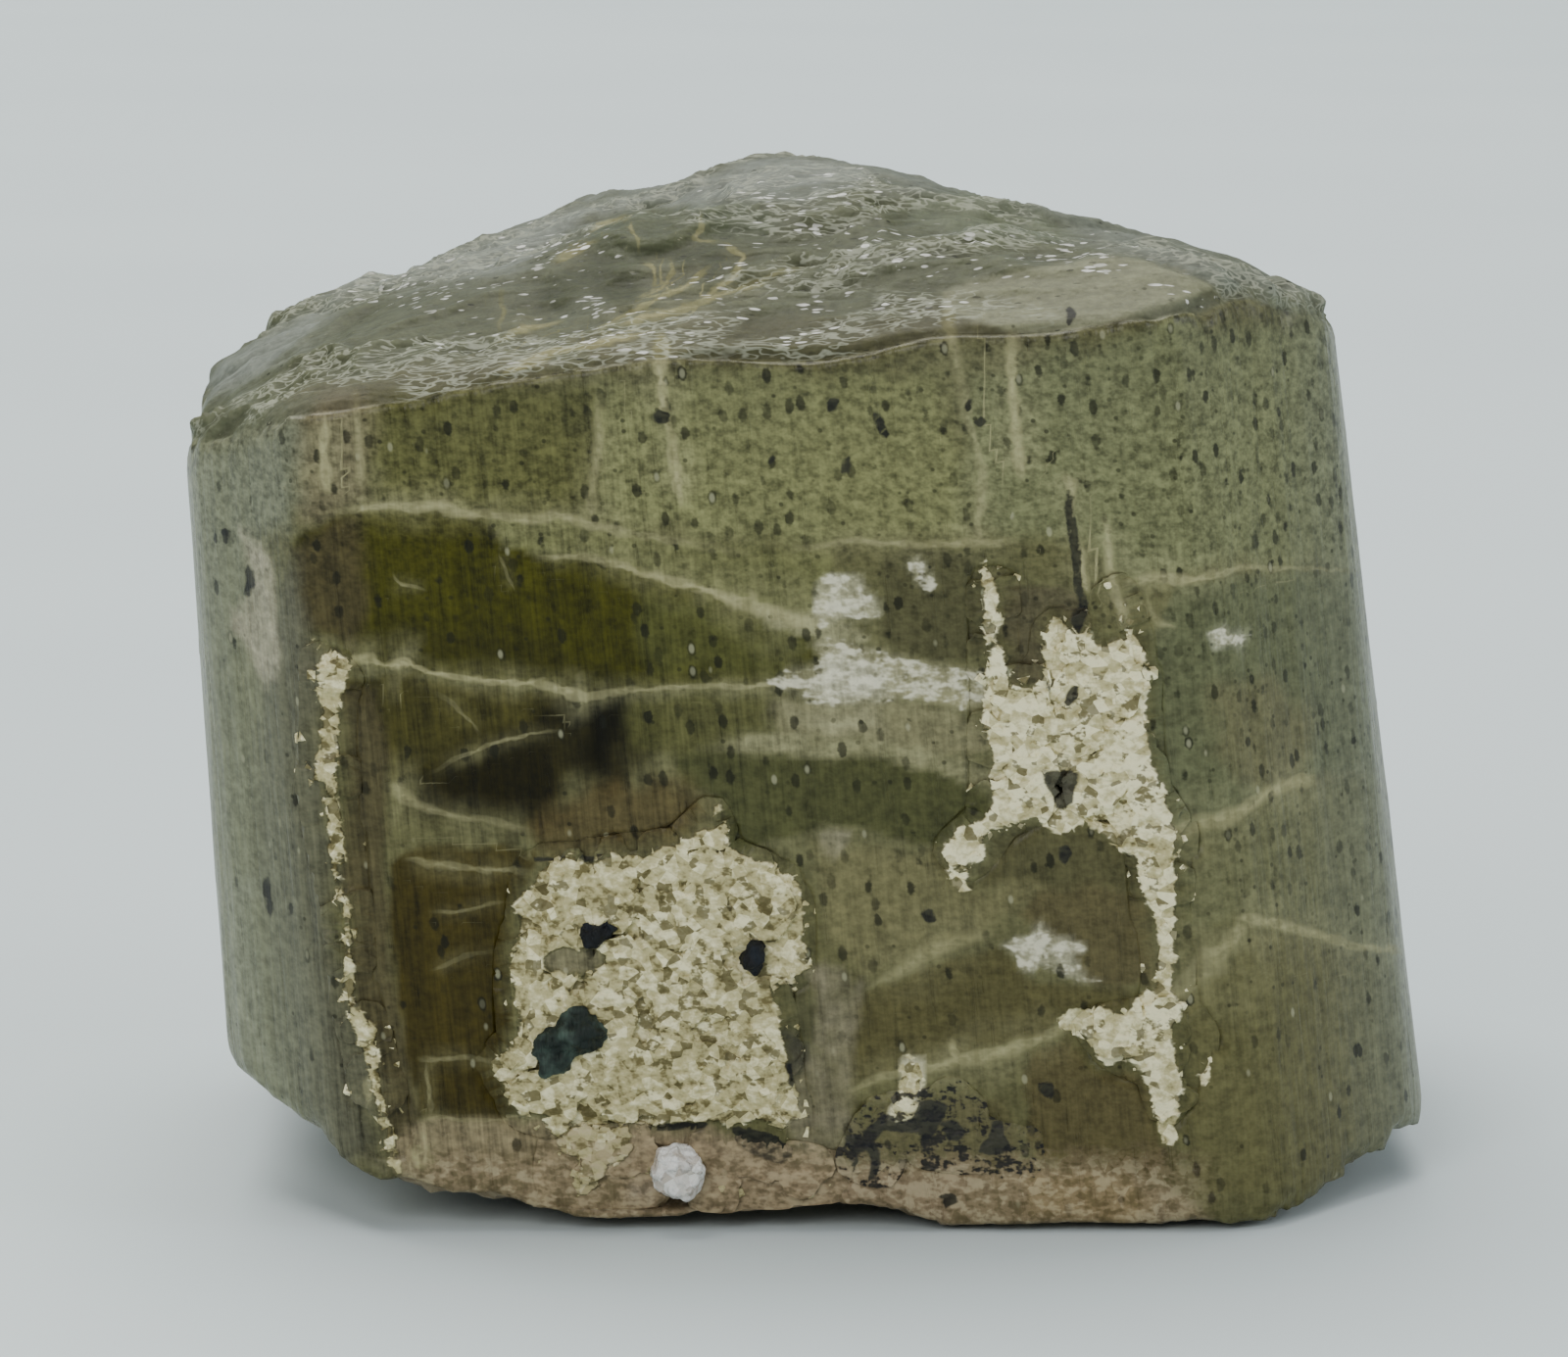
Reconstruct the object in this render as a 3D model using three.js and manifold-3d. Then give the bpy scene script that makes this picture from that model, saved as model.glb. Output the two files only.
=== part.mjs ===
// A rough scapolite crystal: a stubby eight-sided prism, broken off at both ends, that leans
// a little to its left. It stands on the worn high spots of its lower break. Granular feldspar
// fills pits and seams in its faces, and grains of darker minerals sit in that filling and in
// the lower break. Millimetres, +Z up, the front towards -Y.
import * as THREE from "three";
import { mergeVertices } from "three/addons/utils/BufferGeometryUtils.js";
import Module from "manifold-3d";

const wasm = await Module();
wasm.setup();

// Driving dimensions
const HALF_DEPTH = 17; // from the middle to the front face, and nearly to the back face
const MID_HEIGHT = 18; // the level at which the section below is measured
const LEAN = THREE.MathUtils.degToRad(5.2); // how far the long axis leans to the left
const FLARE = 0.0018; // how much wider the prism gets for each millimetre downwards
const PEAK = 35.4; // height of the upper break's highest slopes at the middle
const GAP = 0.3; // clearance round every piece that is seated in another
const PIT_DEPTH = 1.9; // depth of the pits that the granular filling sits in
const FILL_PROUD = 0.9; // the most that a grain of the filling may stand out of its face
const FILL_SUNK = 0.15; // how far the filling between its grains lies below the face
const BREAK_GRID = 1.4; // spacing of the facets on the upper break
const BASE_GRID = 2.0; // spacing of the facets on the lower break
const STRIP_STEP = 0.16; // the most that a growth strip is set back from its neighbour
const LEDGE_WIDTH = 0.12; // width of the ledge between two growth strips
const BLEND = 1.2; // how softly the slopes of the upper break run into each other

const COLOURS = {
  crystal: { color: 0x6a6a42, roughness: 0.35, metalness: 0 },
  filling: { color: 0xb9b494, roughness: 0.8, metalness: 0 },
  rosyFilling: { color: 0x9d8a72, roughness: 0.6, metalness: 0 },
  dark: { color: 0x1c1e22, roughness: 0.4, metalness: 0 },
  darkGreen: { color: 0x39413a, roughness: 0.6, metalness: 0 },
  quartz: { color: 0xd9d6cc, roughness: 0.2, metalness: 0 },
};

// The prism's corners at MID_HEIGHT, anticlockwise from the front left, with how far each is
// rounded and how many growth strips the face that follows it has.
const SECTION = [
  { x: -16.8, y: -HALF_DEPTH, round: 1.5, strips: 9 },
  { x: 13.9, y: -HALF_DEPTH, round: 2.2, strips: 3 },
  { x: 20.4, y: -9.4, round: 1.9, strips: 5 },
  { x: 20.4, y: 9.2, round: 2.2, strips: 3 },
  { x: 14.6, y: HALF_DEPTH + 0.3, round: 1.6, strips: 8 },
  { x: -12.4, y: HALF_DEPTH, round: 2.0, strips: 3 },
  { x: -21.7, y: 7.6, round: 1.7, strips: 5 },
  { x: -21.4, y: -11.4, round: 1.6, strips: 2 },
];

// The upper break is the lowest of these slopes, each a height at the middle and a rise per
// millimetre along x and y, under gentle swells and long crests.
const TOP_SLOPES = [
  { at: PEAK, alongX: 0.125, alongY: 0.25 },
  { at: PEAK - 0.3, alongX: 0.27, alongY: 0 },
  { at: PEAK + 6.0, alongX: 0.62, alongY: 0.05 },
  { at: PEAK + 0.1, alongX: -0.18, alongY: 0 },
  { at: PEAK + 1.2, alongX: -0.3, alongY: -0.14 },
  { at: PEAK + 1.5, alongX: 0, alongY: -0.2 },
];
const SWELL = { high: 1.3, long: 6.5, deep: 5 };
const CREST = { high: 0.75, long: 4.2, deep: 1.9, sway: 1.5, swayLength: 7 };

// The lower break is flat at height 0 where all of these lie below it: broken corners, each
// a slope as above, and hollows.
const BASE_SLOPES = [
  { at: -5.2, alongX: -0.47, alongY: 0 },
  { at: -2.7, alongX: -0.17, alongY: -0.1 },
  { at: -6.3, alongX: 0.35, alongY: 0 },
  { at: -9.3, alongX: 0.1, alongY: 0.6 },
];
const HOLLOW = { high: 2.6, long: 6, level: 0.56 };
const BASE_RIDGE = { high: 0.5, long: 2.6 };
const CORNER_ROUGHNESS = { high: 0.9, long: 2.5 };

// Shell-shaped chips out of the edges: where the middle of each scoop is, and its radii.
const CHIPS = [
  { at: [6.4, -20.6, -2.4], radii: [4.4, 4.6, 3.1] },
  { at: [-25.2, -10.5, 30.6], radii: [3.6, 4.4, 2.8] },
  { at: [24.7, -8.6, 17.6], radii: [2.7, 2.6, 1.6] },
  { at: [20.4, -15.8, -1.6], radii: [4.0, 4.2, 2.6] },
  { at: [-17.5, 15.8, 33.4], radii: [5.2, 5.0, 4.4] },
  { at: [21.5, 16.5, 4.0], radii: [4.6, 4.8, 5.2] },
  { at: [-9.5, 20.6, -0.6], radii: [6.0, 4.8, 3.4] },
];

// Outlines of the filled pits, as [x, z] on their face. The last lies on the back, and is
// measured the same way.
const LOWER_PATCH = [
  [-9.4, 13.3], [-6.9, 13.5], [-4.4, 13.9], [-3.2, 15.0], [-2.6, 13.5], [-0.6, 12.8], [0.0, 11.3],
  [-0.1, 9.2], [-1.0, 8.6], [-0.6, 6.5], [-0.2, 4.6], [-0.3, 3.5], [-5.6, 3.8], [-9.0, 4.0],
  [-10.1, 4.3], [-11.0, 6.1], [-10.1, 6.9], [-10.2, 9.2], [-10.0, 11.1],
];
const UPPER_PATCH = [
  [6.0, 23.4], [6.8, 23.2], [7.0, 19.6], [8.1, 19.6], [8.2, 21.7], [9.6, 21.5], [10.2, 20.8],
  [10.4, 23.3], [11.0, 22.6], [11.7, 20.9], [11.9, 17.2], [12.1, 15.7], [13.1, 14.2], [12.9, 12.6],
  [13.0, 10.5], [13.1, 8.7], [13.9, 6.9], [13.2, 5.2], [12.8, 3.3], [12.1, 5.8], [10.5, 6.4],
  [9.5, 7.5], [11.9, 7.9], [12.3, 9.1], [11.8, 11.5], [11.6, 13.8], [10.8, 15.4], [9.6, 15.2],
  [9.5, 16.5], [8.1, 16.5], [8.0, 15.1], [6.9, 14.6], [5.9, 13.1], [4.9, 13.7], [6.2, 14.9],
  [6.2, 18.4],
];
const LEFT_VEIN = [
  [-16.8, 20.4], [-15.7, 20.1], [-15.9, 17.4], [-15.8, 14.5], [-15.5, 11.7], [-15.4, 9.0],
  [-15.0, 7.4], [-14.6, 5.9], [-14.0, 3.0], [-14.8, 3.0], [-15.4, 5.9], [-15.9, 8.2],
  [-16.2, 11.7], [-16.7, 14.0], [-17.0, 16.0], [-16.8, 18.0],
];
const BASE_SEAM = [
  [-8.9, 3.1], [-5.6, 3.4], [-2.7, 3.2], [-0.7, 2.7], [1.1, 2.4], [1.1, 1.6], [-2.1, 1.3],
  [-4.5, 1.3], [-7.5, 1.3], [-9.1, 1.6],
];
const BACK_PATCH = [
  [-6.5, 21.8], [-3.8, 23.4], [-1.2, 22.6], [0.4, 23.8], [2.6, 22.4], [2.2, 19.6], [3.4, 16.8],
  [2.4, 13.4], [0.2, 12.4], [-2.4, 13.2], [-4.2, 11.4], [-6.0, 13.2], [-5.4, 16.2], [-7.2, 18.6],
];

// The dark grains are six-sided crystals lying in the face: where each is, how wide and how
// long, and by how many degrees it is turned in the face.
const DARK_GRAINS = [
  { name: "dark_grain_left", x: -7.1, z: 10.9, radius: 0.62, length: 1.2, turn: 70 },
  { name: "dark_grain_right", x: -1.8, z: 10.0, radius: 0.58, length: 1.0, turn: 20 },
];
const DARK_TABLET = { x: -8.2, z: 6.9, radius: 0.85, length: 2.5, turn: 55 };
const DARK_CLUSTER = [
  { x: 2.5, z: 3.1, radius: 0.7, length: 1.5, turn: 20 },
  { x: 3.6, z: 3.9, radius: 0.75, length: 1.9, turn: 80 },
  { x: 5.0, z: 4.1, radius: 0.8, length: 1.6, turn: 40 },
  { x: 5.3, z: 3.2, radius: 0.6, length: 2.2, turn: 95 },
  { x: 7.0, z: 3.0, radius: 0.55, length: 1.7, turn: 100 },
];
const BACK_GRAIN = { x: -2.0, z: 17.6, radius: 0.8, length: 1.7, turn: 120 };
const CLEAR_GRAIN = { x: -4.4, z: 2.3, radius: 1.0 };

// A repeatable random number from 0 to 1 for whole numbers i and j.
function scatter(i, j) {
  const s = Math.sin(i * 127.1 + j * 311.7 + 17.3) * 43758.5453;
  return s - Math.floor(s);
}

// Smooth random height from 0 to 1 at x, y, with bumps about one unit across.
function bumps(x, y) {
  const i = Math.floor(x);
  const j = Math.floor(y);
  const u = THREE.MathUtils.smoothstep(x - i, 0, 1);
  const v = THREE.MathUtils.smoothstep(y - j, 0, 1);
  const low = THREE.MathUtils.lerp(scatter(i, j), scatter(i + 1, j), u);
  const high = THREE.MathUtils.lerp(scatter(i, j + 1), scatter(i + 1, j + 1), u);
  return THREE.MathUtils.lerp(low, high, v);
}

// Sharp crests from 0 to 1, as on a hackly break.
function crests(x, y) {
  return 1 - Math.abs(2 * bumps(x, y) - 1);
}

// The lower of two heights, blended where they are close to each other.
function softLower(a, b) {
  const h = THREE.MathUtils.clamp(0.5 + (b - a) / (2 * BLEND), 0, 1);
  return THREE.MathUtils.lerp(b, a, h) - BLEND * h * (1 - h);
}

function slopeHeight(slope, x, y) {
  return slope.at + slope.alongX * x + slope.alongY * y;
}

// Height of the upper break: its slopes, with swells and with crests that run across it.
function topHeight(x, y) {
  const slopes = TOP_SLOPES.map((slope) => slopeHeight(slope, x, y));
  const smooth = slopes.reduce(softLower);
  const sway = CREST.sway * bumps(x / CREST.swayLength, y / CREST.swayLength + 40);
  const swell = SWELL.high * (bumps(x / SWELL.long + 3, y / SWELL.deep + 9) - 0.5);
  const crest = CREST.high * (crests(x / CREST.long + 20, y / CREST.deep + sway) - 0.5);
  return smooth + swell + crest;
}

// Height of the lower break: flat high spots, hollows between them, and broken corners.
function baseHeight(x, y) {
  const hollow = HOLLOW.high * (bumps(x / HOLLOW.long + 50, y / HOLLOW.long + 21) - HOLLOW.level);
  const ridge = BASE_RIDGE.high * (crests(x / BASE_RIDGE.long, y / BASE_RIDGE.long + 60) - 0.5);
  const { high, long } = CORNER_ROUGHNESS;
  const rough = high * (bumps(x / long, y / long + 80) - 0.5);
  const corners = BASE_SLOPES.map((slope) => slopeHeight(slope, x, y) + rough);
  return Math.max(0, hollow + ridge, ...corners);
}

function solidOf(geometry) {
  const bare = geometry.clone();
  bare.deleteAttribute("normal");
  bare.deleteAttribute("uv");
  const merged = mergeVertices(bare, 1e-4);
  return new wasm.Manifold(
    new wasm.Mesh({
      numProp: 3,
      vertProperties: new Float32Array(merged.attributes.position.array),
      triVerts: new Uint32Array(merged.index.array),
    }),
  );
}

// The largest body of a solid: crumbs that a cut parts from it are dropped.
function withoutCrumbs(solid) {
  return solid.decompose().reduce((a, b) => (b.volume() > a.volume() ? b : a));
}

// A named mesh of a solid, with flat facets.
function pieceOf(name, solid, finish) {
  const { vertProperties, triVerts, numProp } = withoutCrumbs(solid).getMesh();
  const places = new Float32Array(triVerts.length * 3);
  triVerts.forEach((vertex, k) => {
    places.set(vertProperties.subarray(vertex * numProp, vertex * numProp + 3), k * 3);
  });
  const geometry = new THREE.BufferGeometry();
  geometry.setAttribute("position", new THREE.BufferAttribute(places, 3));
  geometry.computeVertexNormals();
  const mesh = new THREE.Mesh(geometry, new THREE.MeshStandardMaterial(finish));
  mesh.name = name;
  return mesh;
}

// The prism's outline at MID_HEIGHT: rounded corners, and faces in growth strips that stand
// a little back or forward.
function sectionOutline() {
  const corners = SECTION.map(({ x, y }) => new THREE.Vector2(x, y));
  const outline = new THREE.Path();
  SECTION.forEach(({ round, strips }, k) => {
    const corner = corners[k];
    const before = corners[(k + SECTION.length - 1) % SECTION.length];
    const after = corners[(k + 1) % SECTION.length];
    const enter = corner.clone().add(before.clone().sub(corner).setLength(round));
    const leave = corner.clone().add(after.clone().sub(corner).setLength(round));
    if (k === 0) outline.moveTo(enter.x, enter.y);
    else outline.lineTo(enter.x, enter.y);
    outline.quadraticCurveTo(corner.x, corner.y, leave.x, leave.y);
    const run = after.clone().sub(corner).setLength(1);
    const inward = new THREE.Vector2(-run.y, run.x);
    const nextRound = SECTION[(k + 1) % SECTION.length].round;
    const length = after.distanceTo(corner) - round - nextRound;
    for (let strip = 1; strip < strips; strip++) {
      const along = (length * (strip + 0.7 * (scatter(k, strip) - 0.5))) / strips;
      const ledge = leave.clone().addScaledVector(run, along);
      [scatter(k, strip + 30), scatter(k, strip + 31)].forEach((share, side) => {
        const point = ledge.clone().addScaledVector(run, side * LEDGE_WIDTH);
        point.addScaledVector(inward, STRIP_STEP * share);
        outline.lineTo(point.x, point.y);
      });
    }
  });
  outline.closePath();
  return outline.getPoints(4);
}

// The unbroken prism, leaning, and longer than the crystal at both ends.
function prism() {
  const spare = 12;
  const shape = new THREE.Shape(sectionOutline());
  const geometry = new THREE.ExtrudeGeometry(shape, { depth: PEAK + 2 * spare, bevelEnabled: false });
  geometry.translate(0, 0, -MID_HEIGHT - spare);
  const place = geometry.attributes.position;
  for (let k = 0; k < place.count; k++) {
    const widen = 1 - FLARE * place.getZ(k);
    place.setX(k, place.getX(k) * widen);
  }
  geometry.rotateY(-LEAN);
  geometry.translate(0, 0, MID_HEIGHT);
  return solidOf(geometry);
}

// A block that takes away everything beyond a break. Its inner side follows heightAt, in
// uneven facets about grid across.
function breakCutter(heightAt, grid, outerHeight) {
  const across = 56;
  const deep = 46;
  const unevenness = 0.62 * grid;
  const [columns, rows] = [Math.round(across / grid), Math.round(deep / grid)];
  const geometry = new THREE.BoxGeometry(across, deep, 1, columns, rows, 1);
  const place = geometry.attributes.position;
  for (let k = 0; k < place.count; k++) {
    let [x, y] = [place.getX(k), place.getY(k)];
    const isInner = Math.sign(place.getZ(k)) !== Math.sign(outerHeight);
    const isEdge = Math.abs(x) > across / 2 - 0.1 || Math.abs(y) > deep / 2 - 0.1;
    if (!isEdge) {
      const [i, j] = [Math.round(x / grid + 100), Math.round(y / grid + 100)];
      x += unevenness * (scatter(i, j) - 0.5);
      y += unevenness * (scatter(j, i + 50) - 0.5);
    }
    place.setXYZ(k, x, y, isInner ? heightAt(x, y) : outerHeight);
  }
  return solidOf(geometry);
}

function chip({ at, radii }) {
  const geometry = new THREE.IcosahedronGeometry(1, 3);
  geometry.scale(...radii);
  geometry.rotateZ(at[0]);
  geometry.translate(...at);
  return solidOf(geometry);
}

// An outline of [x, z] points grown outwards by distance. The points run either way round.
function grown(outline, distance) {
  const points = outline.map(([x, z]) => new THREE.Vector2(x, z));
  const turn = THREE.ShapeUtils.area(points) > 0 ? 1 : -1;
  return points.map((point, k) => {
    const before = points[(k + points.length - 1) % points.length];
    const after = points[(k + 1) % points.length];
    const into = point.clone().sub(before).normalize();
    const out = after.clone().sub(point).normalize();
    const side = new THREE.Vector2(into.y, -into.x).multiplyScalar(turn);
    const normal = new THREE.Vector2(into.y + out.y, -into.x - out.x).multiplyScalar(turn);
    normal.normalize();
    const stretch = Math.min(1.5, 1 / Math.max(0.2, normal.dot(side)));
    point = point.clone().addScaledVector(normal, distance * stretch);
    return [point.x, point.y];
  });
}

// The solid behind an outline on the front or the back, from inner to outer millimetres out
// from the middle.
function faceColumn(outline, side, inner, outer) {
  const shape = new THREE.Shape(outline.map(([x, z]) => new THREE.Vector2(x, z)));
  const geometry = new THREE.ExtrudeGeometry(shape, { depth: outer - inner, bevelEnabled: false });
  geometry.rotateX(Math.PI / 2);
  geometry.translate(0, side < 0 ? -inner : outer, 0);
  return solidOf(geometry);
}

function isInside([x, z], outline) {
  let inside = false;
  outline.forEach(([xa, za], k) => {
    const [xb, zb] = outline[(k + 1) % outline.length];
    const crosses = za > z !== zb > z && x < xa + ((z - za) / (zb - za)) * (xb - xa);
    if (crosses) inside = !inside;
  });
  return inside;
}

// One blocky grain with its middle just under the face.
function blockyGrain([x, z], side, spacing, pick) {
  const radius = spacing * (0.5 + 0.24 * pick(3));
  const geometry = new THREE.IcosahedronGeometry(radius, 0);
  geometry.scale(1, 0.8 + 0.3 * pick(4), 0.75 + 0.4 * pick(5));
  geometry.rotateX(2 * Math.PI * pick(6));
  geometry.rotateZ(2 * Math.PI * pick(7));
  geometry.translate(x, side * (HALF_DEPTH - 0.25 * radius + 0.2 * pick(8)), z);
  return solidOf(geometry);
}

// Blocky grains crowded over an outline.
function grainsOver(outline, side, spacing, seed) {
  const columns = outline.map(([x]) => x);
  const rows = outline.map(([, z]) => z);
  const grains = [];
  for (let x = Math.min(...columns); x <= Math.max(...columns); x += spacing) {
    for (let z = Math.min(...rows); z <= Math.max(...rows); z += spacing) {
      const pick = (k) => scatter(Math.round(x * 10) + k, Math.round(z * 10) + seed);
      const away = [1, 2].map((k) => 0.6 * spacing * (pick(k) - 0.5));
      const spot = [x + away[0], z + away[1]];
      if (isInside(spot, outline)) grains.push(blockyGrain(spot, side, spacing, pick));
    }
  }
  return grains;
}

// The granular filling of a pit: a slab crowded with grains, cut to the pit less its clearance.
function filling(outline, side, spacing, seed) {
  const column = faceColumn(outline, side, HALF_DEPTH - PIT_DEPTH + GAP, HALF_DEPTH + FILL_PROUD);
  const wide = grown(outline, GAP);
  const slab = faceColumn(wide, side, HALF_DEPTH - PIT_DEPTH, HALF_DEPTH - FILL_SUNK);
  return join([slab, ...grainsOver(outline, side, spacing, seed)]).intersect(column);
}

function pit(outline, side) {
  return faceColumn(grown(outline, GAP), side, HALF_DEPTH - PIT_DEPTH, HALF_DEPTH + 4);
}

// A six-sided crystal lying in a face, grown by spare on every side, as its seat needs.
function lyingCrystal({ x, z, radius, length, turn }, side, spare = 0) {
  const [top, foot, tall] = [radius * 0.8 + spare, radius + spare, length + 2 * spare];
  const geometry = new THREE.CylinderGeometry(top, foot, tall, 6, 1);
  geometry.rotateY(turn);
  geometry.rotateX(Math.PI / 2 + 0.2);
  geometry.rotateY(THREE.MathUtils.degToRad(turn));
  geometry.translate(x, side * (HALF_DEPTH - 0.1), z);
  return solidOf(geometry);
}

function clearGrain(spare = 0) {
  const geometry = new THREE.IcosahedronGeometry(CLEAR_GRAIN.radius + spare, 1);
  geometry.rotateX(0.4);
  geometry.translate(CLEAR_GRAIN.x, -HALF_DEPTH, CLEAR_GRAIN.z);
  return solidOf(geometry);
}

function join(solids) {
  return wasm.Manifold.union(solids);
}

const [FRONT, BACK] = [-1, 1];
const seats = [
  pit(LOWER_PATCH, FRONT),
  pit(UPPER_PATCH, FRONT),
  pit(LEFT_VEIN, FRONT),
  pit(BASE_SEAM, FRONT),
  pit(BACK_PATCH, BACK),
  ...DARK_CLUSTER.map((grain) => lyingCrystal(grain, FRONT, GAP)),
];
const crystal = prism()
  .subtract(breakCutter(topHeight, BREAK_GRID, PEAK + 20))
  .subtract(breakCutter(baseHeight, BASE_GRID, -20))
  .subtract(join(CHIPS.map(chip)))
  .subtract(join(seats));

const patchSeats = [...DARK_GRAINS, DARK_TABLET].map((grain) => lyingCrystal(grain, FRONT, GAP));
const lowerPatch = filling(LOWER_PATCH, FRONT, 1.55, 5).subtract(join(patchSeats));
const upperPatch = filling(UPPER_PATCH, FRONT, 1.45, 17);
const leftVein = filling(LEFT_VEIN, FRONT, 1.1, 23);
const baseSeam = filling(BASE_SEAM, FRONT, 1.5, 31).subtract(clearGrain(GAP));
const backPatch = filling(BACK_PATCH, BACK, 1.8, 43).subtract(lyingCrystal(BACK_GRAIN, BACK, GAP));
const darkCluster = join(DARK_CLUSTER.map((grain) => lyingCrystal(grain, FRONT)));

const specimen = new THREE.Group();
specimen.add(
  pieceOf("crystal", crystal, COLOURS.crystal),
  pieceOf("lower_matrix_patch", lowerPatch, COLOURS.filling),
  pieceOf("upper_matrix_patch", upperPatch, COLOURS.filling),
  pieceOf("left_matrix_vein", leftVein, COLOURS.filling),
  pieceOf("base_matrix_seam", baseSeam, COLOURS.rosyFilling),
  pieceOf("back_matrix_patch", backPatch, COLOURS.filling),
  ...DARK_GRAINS.map((grain) => pieceOf(grain.name, lyingCrystal(grain, FRONT), COLOURS.dark)),
  pieceOf("dark_tablet", lyingCrystal(DARK_TABLET, FRONT), COLOURS.darkGreen),
  pieceOf("dark_base_cluster", darkCluster, COLOURS.dark),
  pieceOf("back_dark_grain", lyingCrystal(BACK_GRAIN, BACK), COLOURS.dark),
  pieceOf("clear_grain", clearGrain(), COLOURS.quartz),
);

export default specimen;
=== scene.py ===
import math

import bmesh
import bpy
import numpy as np
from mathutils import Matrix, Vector
from mathutils.bvhtree import BVHTree


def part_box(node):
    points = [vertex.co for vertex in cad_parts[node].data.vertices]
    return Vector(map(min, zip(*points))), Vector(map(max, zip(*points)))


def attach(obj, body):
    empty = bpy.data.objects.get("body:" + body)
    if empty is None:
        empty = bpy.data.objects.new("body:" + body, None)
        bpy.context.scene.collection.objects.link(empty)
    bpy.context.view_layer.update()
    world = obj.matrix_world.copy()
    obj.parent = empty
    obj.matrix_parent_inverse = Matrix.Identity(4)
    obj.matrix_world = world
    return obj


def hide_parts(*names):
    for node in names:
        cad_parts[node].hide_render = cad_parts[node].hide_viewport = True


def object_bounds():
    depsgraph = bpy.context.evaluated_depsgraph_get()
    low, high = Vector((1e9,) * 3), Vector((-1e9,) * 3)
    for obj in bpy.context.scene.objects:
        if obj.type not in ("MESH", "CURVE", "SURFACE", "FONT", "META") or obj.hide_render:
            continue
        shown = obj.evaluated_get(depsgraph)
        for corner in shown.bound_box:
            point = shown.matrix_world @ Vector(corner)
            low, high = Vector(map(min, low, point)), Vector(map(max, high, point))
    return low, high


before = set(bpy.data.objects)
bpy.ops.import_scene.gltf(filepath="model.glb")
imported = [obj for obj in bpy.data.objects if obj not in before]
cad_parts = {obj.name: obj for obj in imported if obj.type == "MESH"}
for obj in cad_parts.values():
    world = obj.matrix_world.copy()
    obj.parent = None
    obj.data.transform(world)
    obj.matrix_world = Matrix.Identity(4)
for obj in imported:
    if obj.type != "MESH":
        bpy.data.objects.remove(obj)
solid_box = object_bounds()

MM = 0.001  # metres in a millimetre
LEAN = math.tan(math.radians(5.2))  # how far the long axis drifts to the left for each millimetre up
MID_HEIGHT = 18.0  # the height at which the prism's faces are measured
FRONT = -17.0  # where the front face is along y

# Where the view is taken from
VIEW_AT = (-0.7, 0.0, 16.7)
VIEW_FAR = 220.0
VIEW_RISE = math.radians(10.0)
VIEW_WIDTH = 58.5  # what the picture takes in at that distance
SENSOR = 36.0
VIEW_CLIP = (0.01, 10)  # in metres

# Skins: how fine the small faces are, and how often corners or directions are averaged to smooth them
MERGED = 0.002  # corners nearer than this are one
INSET = 0.01  # how far inside the solid's box every point stays
CRYSTAL_SKIN = 0.43
CRYSTAL_ROUNDS, DIRECTION_ROUNDS, END_ROUNDS, EDGE_ROUNDS, RIDGE_ROUNDS = 3, 12, 28, 44, 10
FILLING_SKIN = 0.16
GRAIN_ROUNDS, GRAIN_DIRECTION_ROUNDS = 12, 2

# Relief: how far it stands out or in, and the size of its swells along x, y and z
STRIAE, STRIA_SIZE = 0.05, (0.7, 0.7, 16.0)
FURROWS, FURROW_SIZE = 0.07, (2.6, 2.6, 60.0)
PITS, PIT_SIZE = 0.35, 1.1
DIMPLES, DIMPLE_SIZE = 0.12, 0.6
NICKS, NICK_SIZE, EDGE_WEAR = 0.55, (1.7, 1.7, 1.3), 0.1
HACKLES = (
    (0.5, (5.2, 1.7, 3.0), 2, 41),
    (0.42, (2.6, 0.95, 1.4), 2, 47),
    (0.24, (1.5, 0.6, 0.9), 1, 53),
)
HACKLE_DRIFT, HACKLE_DRIFT_SIZE = 1.7, 5.0
CALM_SIZE = (5.5, 3.0, 6.0)

# Fillings: how far each grows over its clearance, and how its face lies to the crystal's
SPREAD, SPREAD_RAGGED = 0.62, 0.05
FLUSH, SUGAR_STANDS, FILLING_SWELLS, RIM_SINKS, FACE_DEPTH = 0.03, 0.09, 0.04, 0.11, 0.6
CROWDING = 8.0e6  # scattered grains for each square metre
SMALLEST_GRAIN, LARGEST_GRAIN, GRAIN_SINKS = 0.1, 0.26, 0.17


def make_camera():
    """A long lens, a little above the crystal's middle, that looks straight at the front face."""
    data = bpy.data.cameras.new("view")
    data.sensor_width = SENSOR
    data.lens = SENSOR * VIEW_FAR / VIEW_WIDTH
    data.clip_start, data.clip_end = VIEW_CLIP
    camera = bpy.data.objects.new("view", data)
    bpy.context.collection.objects.link(camera)
    back = Vector((0, -math.cos(VIEW_RISE), math.sin(VIEW_RISE)))
    camera.location = (Vector(VIEW_AT) + back * VIEW_FAR) * MM
    camera.rotation_euler = back.to_track_quat("Z", "Y").to_euler()
    bpy.context.scene.camera = camera


# Fields of noise, for points given as an array of x, y, z rows


def chance(i, j, k, seed):
    """A repeatable random number from 0 to 1 for each whole-number cell."""
    mixed = (i * 73856093) ^ (j * 19349663) ^ (k * 83492791) ^ (seed * 50331653)
    mixed = (mixed ^ (mixed >> 13)) * 1274126177
    return ((mixed ^ (mixed >> 16)) & 0xFFFF) / 65535.0


def swells(points, seed=0):
    """Smooth noise from 0 to 1, with swells about one unit across."""
    cell = np.floor(points).astype(np.int64)
    f = points - cell
    f = f * f * (3 - 2 * f)
    i, j, k = cell.T
    total = 0.0
    for a in (0, 1):
        for b in (0, 1):
            for c in (0, 1):
                share = (f[:, 0] if a else 1 - f[:, 0]) * (f[:, 1] if b else 1 - f[:, 1])
                share = share * (f[:, 2] if c else 1 - f[:, 2])
                total = total + share * chance(i + a, j + b, k + c, seed)
    return total


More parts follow.
